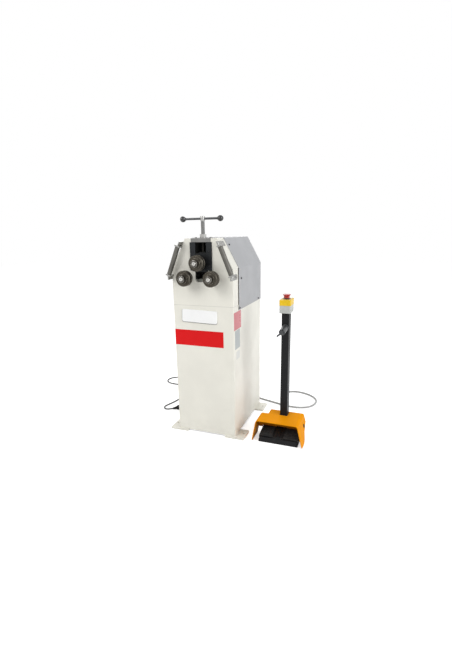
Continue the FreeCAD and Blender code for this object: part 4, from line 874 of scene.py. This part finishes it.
# --- plates and labels
class ROLLER_OT_plates(Operator):
    """Fix the bare badge plate, the red band and the bare labels"""
    bl_idname = "roller.plates"
    bl_label = "Badge plate, band and labels"

    def execute(self, context):
        size = sizes()
        width, height, depth = size.badge_width, size.badge_height, size.badge_depth
        spin = math.radians(-1.6) + math.pi
        middle = Vector((-0.0225, FRONT, 0.7715))
        # A dark plate behind the badge, shifted left and down: a rim with a painted shadow below and left of
        # the badge.
        flat_plate("badge_rim", "badge_rim", width, height, 0.01, depth - 0.0012, 0.0006,
                   facing(middle - Vector((0.0008, 0, 0.0014)), FORWARD, spin))
        flat_plate("badge_face", "badge_enamel", width - 0.0015, height - 0.0015, 0.0095, depth, 0.0008,
                   facing(middle, FORWARD, spin))
        middle = Vector((-RIGHT + 0.001 + size.band_width / 2, FRONT, 0.634))
        flat_plate("red_band", "band_vinyl", size.band_width - 0.002, size.band_height, 0.0012,
                   FOIL, FOIL_EDGE, facing(middle, FORWARD))
        for name, label_finish, y_low, y_high, z_low, z_high in (
                ("upper_label", "red_label", 0.006, 0.132, 0.692, 0.8),
                ("middle_label", "grey_label", 0.022, 0.11, 0.572, 0.688),
                ("lower_label", "pale_label", 0.04, 0.104, 0.505, 0.555)):
            middle = Vector((RIGHT, FRONT + (y_low + y_high) / 2, (z_low + z_high) / 2))
            flat_plate(name, label_finish, y_high - y_low, z_high - z_low, 0.003, FOIL, FOIL_EDGE,
                       facing(middle, (1, 0, 0)))
        return {"FINISHED"}


# --- screws
class ROLLER_OT_screws(Operator):
    """Drive the screws of the hood, keepers, brackets, bridge and rear panel"""
    bl_idname = "roller.screws"
    bl_label = "Screws"

    def execute(self, context):
        low, high, _ = middle_of("top_hood")
        slope = Vector((172.5, 0, 93.0)).normalized()
        hood = []
        for side, wall in ((-1, low.x), (1, high.x)):
            hood += [((wall, FRONT + depth, z), (side, 0, 0))
                     for depth, z in ((0.139, 0.991), (0.107, 0.815), (0.496, 0.815))]
            normal = Vector((side * slope.x, 0, slope.z))
            crease = Vector((side * RIGHT, FRONT + 0.13, 1.055))
            up_the_slope = Vector((-side * 93.0, 0, 173.0)).normalized()
            hood.append((crease + up_the_slope * 0.15 + normal * 0.0022, normal))
        screws("hood_screws", hood, 0.0048, 0.003, "cross", "black_screw", washer=0.001)

        keeper = [((side * 0.0515, FRONT - 0.002, z), FORWARD) for side in SIDES for z in (1.072, 1.152)]
        screws("keeper_screws", keeper, 0.0058, 0.0038, "hex", "black_screw")
        bridge = [((side * 0.047, FRONT + 0.037, 1.228), UP) for side in SIDES]
        screws("bridge_screws", bridge, 0.007, 0.006, "hex", "bridge_steel")

        low, high, middle = middle_of("rear_panel")
        inset = 0.012
        panel = [((x, high.y, z), (0, 1, 0)) for x in (low.x + inset, 0.0, high.x - inset)
                 for z in (low.z + inset, middle.z, high.z - inset) if x or z != middle.z]
        screws("panel_screws", panel, 0.0045, 0.0028, "cross", "bright_screw", washer=0.0008)
        bracket = [((side * 0.1995, FRONT + 0.04, 1.007), (side, 0, 0)) for side in SIDES]
        screws("bracket_screws", bracket, 0.006, 0.005, "hex", "bright_screw", washer=0.0012)
        return {"FINISHED"}


# --- hand screw
class ROLLER_OT_hand_screw(Operator):
    """Cut the thread of the hand screw"""
    bl_idname = "roller.hand_screw"
    bl_label = "Threaded hand screw"

    def execute(self, context):
        size = sizes()
        low, high, middle = middle_of("spindle")
        foot, top = low.z, high.z
        middle.z = 0
        crest = 0.011
        root = crest - size.thread_depth
        head_low = top - 0.028
        end = head_low - size.plain_shank
        thread = self.thread(middle, root, crest, foot + 0.0245, end, size.thread_pitch)
        place = Matrix.Translation(middle)
        core = turned_piece("hand_screw_core", [
            (0, foot), (0.01, foot), (0.0107, foot + 0.001), (0.0107, foot + 0.0177), (0.0075, foot + 0.0177),
            (0.0075, foot + 0.0243), (0.01, foot + 0.0243), (0.0109, foot + 0.025), (root, foot + 0.0262),
            (root, end - 0.001), (crest, end), (crest, head_low), (0, head_low)],
            place, "spindle_steel", "screw")
        head = turned_piece("hand_screw_head", [
            (0, head_low), (0.0116, head_low), (0.012, head_low + 0.0006), (0.0135, head_low + 0.0035),
            (0.0135, top - 0.0025), (0.0127, top - 0.0006), (0.0115, top), (0.003, top),
            (0.0022, top - 0.0015), (0, top - 0.0015)], place, "bright_turned_steel", "screw")
        self.cross_hole(context, head, Vector((middle.x, middle.y, middle_of("tommy_bar")[2].z)))
        for piece in (core, head, thread):
            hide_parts("spindle")
        return {"FINISHED"}

    def thread(self, middle, root, crest, start, end, pitch, steps=32):
        """A thread of flat crests and roots, faded into the core at both ends."""
        shape = ((root, 0.0), (crest, 0.17), (crest, 0.48), (root, 0.65))
        bm = bmesh.new()
        rows = []
        for number in range(int((end - start) / pitch * steps) + steps + 1):
            base = start + (number / steps - 1.0) * pitch
            rows.append([bm.verts.new(middle + Vector((*polar(radius, 2 * math.pi * number / steps),
                                                       min(max(base + share * pitch, start), end))))
                         for radius, share in shape])
        strip(bm, rows)
        for number in range(len(rows) - steps - 1):
            bm.faces.new((rows[number][3], rows[number + 1][3], rows[number + steps + 1][0],
                          rows[number + steps][0]))
        return finish_piece("hand_screw_thread", bm, "spindle_steel", "screw", sharp=30.0)

    def cross_hole(self, context, head, point):
        """Bores the head for the tommy bar."""
        bm = bmesh.new()
        lathe(bm, [(0, -0.03), (0.0066, -0.03), (0.0066, 0.03), (0, 0.03)], facing(point, (1, 0, 0)), 40)
        cutter = bpy.data.objects.new("cross_hole", new_mesh("cross_hole", bm))
        context.scene.collection.objects.link(cutter)
        cut = head.modifiers.new("cross_hole", "BOOLEAN")
        cut.object = cutter
        cut.operation = "DIFFERENCE"
        cut.solver = "EXACT"
        context.view_layer.update()
        shaped = bpy.data.meshes.new_from_object(head.evaluated_get(context.evaluated_depsgraph_get()))
        head.modifiers.clear()
        head.data = shaped
        bpy.data.objects.remove(cutter)


# --- pedal station details
class ROLLER_OT_treads(Operator):
    """Lay a ribbed rubber tread on each pedal"""
    bl_idname = "roller.treads"
    bl_label = "Pedal treads"

    def execute(self, context):
        size = sizes()
        length, base, tilt = 0.093, 0.0012, math.atan2(0.0158, 0.1)
        top = base + size.tread_height
        outline = [(0.004, 0.0), (0.004, base)]
        y = 0.007
        while y + size.tread_pitch < length:
            outline += [(y, base), (y + 0.0008, top), (y + 0.0038, top), (y + 0.0046, base)]
            y += size.tread_pitch
        outline += [(length, base), (length, 0.0)]
        for name, body in (("left_pedal", "left_treadle"), ("right_pedal", "right_treadle")):
            low, high, middle = middle_of(name)
            width = (high.x - low.x) / 2 - 0.004
            bm = bmesh.new()
            draw_out(bm, *([(x, depth, height) for depth, height in outline] for x in (-width, width)))
            bm.transform(Matrix.Translation((middle.x, low.y + 0.003, 0.046)) @ Matrix.Rotation(tilt, 4, "X"))
            tread = finish_piece(name + "_tread", bm, "tread_rubber", body)
            soften = tread.modifiers.new("eased_edges", "BEVEL")
            soften.width = 0.0003
            soften.segments = 2
            soften.limit_method = "ANGLE"
        return {"FINISHED"}


class ROLLER_OT_pedal_fittings(Operator):
    """Fit the snap plug and the back sheet of the foot hood and the weld at the pole's foot"""
    bl_idname = "roller.pedal_fittings"
    bl_label = "Foot hood fittings"

    def execute(self, context):
        place = facing((0.5966, FRONT + 0.15, 0.08), (1.0, 0, WING_LEAN))
        turned_piece("hood_snap_plug", [
            (0, 0), (0.012, 0), (0.012, 0.0018), (0.0112, 0.0026), (0.0085, 0.003), (0.008, 0.0022),
            (0, 0.0022)], place, "black_plastic", count=40)
        self.back_sheet()
        low, high, _ = middle_of("pole")
        gap = 0.003
        left, right, near, far = low.x + gap, high.x - gap, low.y + gap, high.y - gap
        path = [(left, low.y), (right, low.y), (high.x, near), (high.x, far), (right, high.y), (left, high.y),
                (low.x, far), (low.x, near), (left, low.y)]
        bm = bmesh.new()
        weld_bead(bm, laid(path, low.z), 0.0024)
        finish_piece("pole_weld", bm, "pole_paint", sharp=80.0)
        return {"FINISHED"}

    def back_sheet(self):
        """The upright sheet that closes the foot hood above the pedals and beside them."""
        bottom, over_pedals, over_ridge, top = 0.046, 0.056, 0.0636, 0.1356
        corner, reach = 0.0155, 0.0045
        left_foot, left_lean, right_foot = 0.3, 0.175, 0.616
        outline = [(0.588, bottom), (0.588, over_pedals), (0.496, over_pedals), (0.496, over_ridge),
                   (0.43, over_ridge), (0.43, over_pedals), (0.34, over_pedals), (0.34, bottom),
                   (left_foot + left_lean * bottom + reach, bottom)]
        for foot, lean, side in ((left_foot, left_lean, 1), (right_foot, WING_LEAN, -1)):
            x = foot + side * (lean * top + reach + corner)
            angles = [math.radians(80 * step / 6) for step in range(7)][::side]
            outline += [(x - side * corner * math.cos(angle), top - corner * (1 - math.sin(angle)))
                        for angle in angles]
        outline.append((right_foot - WING_LEAN * bottom - reach, bottom))
        bm = bmesh.new()
        draw_out(bm, *([(x, FRONT + depth, z) for x, z in outline] for depth in (0.1245, 0.1275)))
        finish_piece("foot_hood_back", bm, "pedal_orange")


class ROLLER_OT_stop_button(Operator):
    """Shape the stop button's cap and fit its collar and the screws of the lid"""
    bl_idname = "roller.stop_button"
    bl_label = "Stop button"

    def execute(self, context):
        low, high, middle = middle_of("estop_cap")
        middle.z = low.z
        top = high.z - low.z
        cap = turned_piece("stop_cap", [
            (0.0092, 0.0005), (0.016, 0.0), (0.0168, 0.0006), (0.017, 0.002), (0.0171, 0.0085),
            (0.0176, 0.012), (0.019, 0.0147), (0.0214, 0.0166), (0.0231, 0.018), (0.0235, 0.0192),
            (0.0233, 0.0205), (0.022, 0.0218), (0.019, top - 0.0005), (0.0125, top), (0, top)],
            Matrix.Translation(middle), "cap_plastic", "stop_button", sharp=50.0)
        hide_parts("estop_cap")
        self.ridges(middle, top)
        low, high, _ = middle_of("estop_box_lid")
        inset = 0.009
        spots = [((x, y, high.z - 0.0002), UP) for x in (low.x + inset, high.x - inset)
                 for y in (low.y + inset, high.y - inset)]
        screws("lid_screws", spots, 0.0032, 0.0014, "cross", "bright_screw")
        turned_piece("button_collar", [
            (0.018, 0.0), (0.025, 0.0), (0.025, 0.001), (0.0242, 0.0018), (0.0186, 0.0018), (0.018, 0.0012)],
            Matrix.Translation((middle.x, middle.y, high.z)), "stem_plastic", hollow=True)
        return {"FINISHED"}

    def ridges(self, middle, top, ring=0.015, steps=16):
        """Three curved ridges on the cap, thin at both ends."""
        section = ((-1, -0.0006), (-0.6, 0.0005), (0.6, 0.0004), (1, -0.0008))
        bm = bmesh.new()
        for turn in range(3):
            rows = []
            for step in range(steps + 1):
                angle = math.radians(120 * turn + 70 * step / steps)
                wide = 0.0014 * math.sin(math.pi * (0.12 + 0.76 * step / steps))
                rows.append([bm.verts.new(middle + Vector((*polar(ring + share * wide, angle), top + height)))
                             for share, height in section])
            strip(bm, rows)
        finish_piece("stop_cap_ridges", bm, "cap_plastic", "stop_button", sharp=60.0)


class ROLLER_OT_glands(Operator):
    """Fit hexagonal cable glands with ribbed nuts"""
    bl_idname = "roller.glands"
    bl_label = "Cable glands"

    def execute(self, context):
        size = sizes()
        bm = bmesh.new()
        for point, diameter in zip(GLANDS, (size.lead_diameter, size.cable_diameter, size.cable_diameter)):
            self.gland(bm, facing(point, (0, 1, 0)), diameter / 2 + 0.0003)
        glands = finish_piece("gland_nuts", bm, "black_plastic")
        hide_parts("cable_glands")
        return {"FINISHED"}

    def gland(self, bm, place, bore, count=48):
        """A hexagonal foot and a nut with narrow ribs, up to where its nose starts."""
        hexagon = circle(0.0118, 6)
        foot = skin(bm, place, (hexagon, 0), (hexagon, 0.0052), (scaled(hexagon, 0.94), 0.006))
        ribbed = []
        for height, reach in ((0.006, 0.0104), (0.015, 0.0104), (0.019, 0.0098), (0.0222, 0.0087)):
            rib = 0.0005 if height < 0.0185 else 0.0
            outline = [polar(reach + (rib if n % 4 < 2 else 0.0), 2 * math.pi * n / count)
                       for n in range(count)]
            ribbed.append((outline, height))
        nut = skin(bm, place, *ribbed, (circle(0.0078, count), 0.024), (circle(bore, count), 0.0236))
        for rings in (foot, nut):
            close_ends(bm, rings[0], rings[-1])


class ROLLER_OT_welds(Operator):
    """Run the weld beads between the column and its foot plates"""
    bl_idname = "roller.welds"
    bl_label = "Foot plate welds"

    def execute(self, context):
        bm = bmesh.new()
        low, high, _ = middle_of("column")
        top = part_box("foot_plates")[1].z
        gap = 0.003
        for side, x in ((-1, low.x), (1, high.x)):
            for end, y in ((-1, low.y), (1, high.y)):
                path = [(x - side * 0.065, y), (x - side * gap, y), (x, y - end * gap), (x, y - end * 0.106)]
                weld_bead(bm, laid(path, top), 0.0028)
        finish_piece("foot_welds", bm, "cream_powder_coat", sharp=80.0)
        return {"FINISHED"}


# --- panel and registration
OPERATORS = (ROLLER_OT_stage, ROLLER_OT_cords, ROLLER_OT_node_finishes, ROLLER_OT_plates, ROLLER_OT_screws,
             ROLLER_OT_hand_screw, ROLLER_OT_treads, ROLLER_OT_pedal_fittings, ROLLER_OT_stop_button,
             ROLLER_OT_glands, ROLLER_OT_welds)


class ROLLER_PT_panel(Panel):
    """Sidebar panel with the settings and the steps"""
    bl_idname = "ROLLER_PT_panel"
    bl_label = "Ring roller"
    bl_space_type = "VIEW_3D"
    bl_region_type = "UI"
    bl_category = "Ring roller"

    def draw(self, context):
        for settings in (context.scene.roller_sizes, context.scene.roller_colours):
            box = self.layout.box()
            for name in settings.__annotations__:
                box.prop(settings, name)
        for step in OPERATORS:
            self.layout.operator(step.bl_idname)


CLASSES = (RollerColours, RollerSizes, *OPERATORS, ROLLER_PT_panel)


def register():
    for item in CLASSES:
        bpy.utils.register_class(item)
    bpy.types.Scene.roller_colours = PointerProperty(type=RollerColours)
    bpy.types.Scene.roller_sizes = PointerProperty(type=RollerSizes)


def unregister():
    del bpy.types.Scene.roller_sizes
    del bpy.types.Scene.roller_colours
    for item in reversed(CLASSES):
        bpy.utils.unregister_class(item)


def main():
    register()
    build_effects()
    bpy.ops.roller.stage()
    bpy.ops.roller.cords()
    bpy.ops.roller.node_finishes()
    bpy.ops.roller.plates()
    bpy.ops.roller.screws()
    bpy.ops.roller.hand_screw()
    bpy.ops.roller.treads()
    bpy.ops.roller.pedal_fittings()
    bpy.ops.roller.stop_button()
    bpy.ops.roller.glands()
    bpy.ops.roller.welds()


if __name__ == "__main__":
    main()
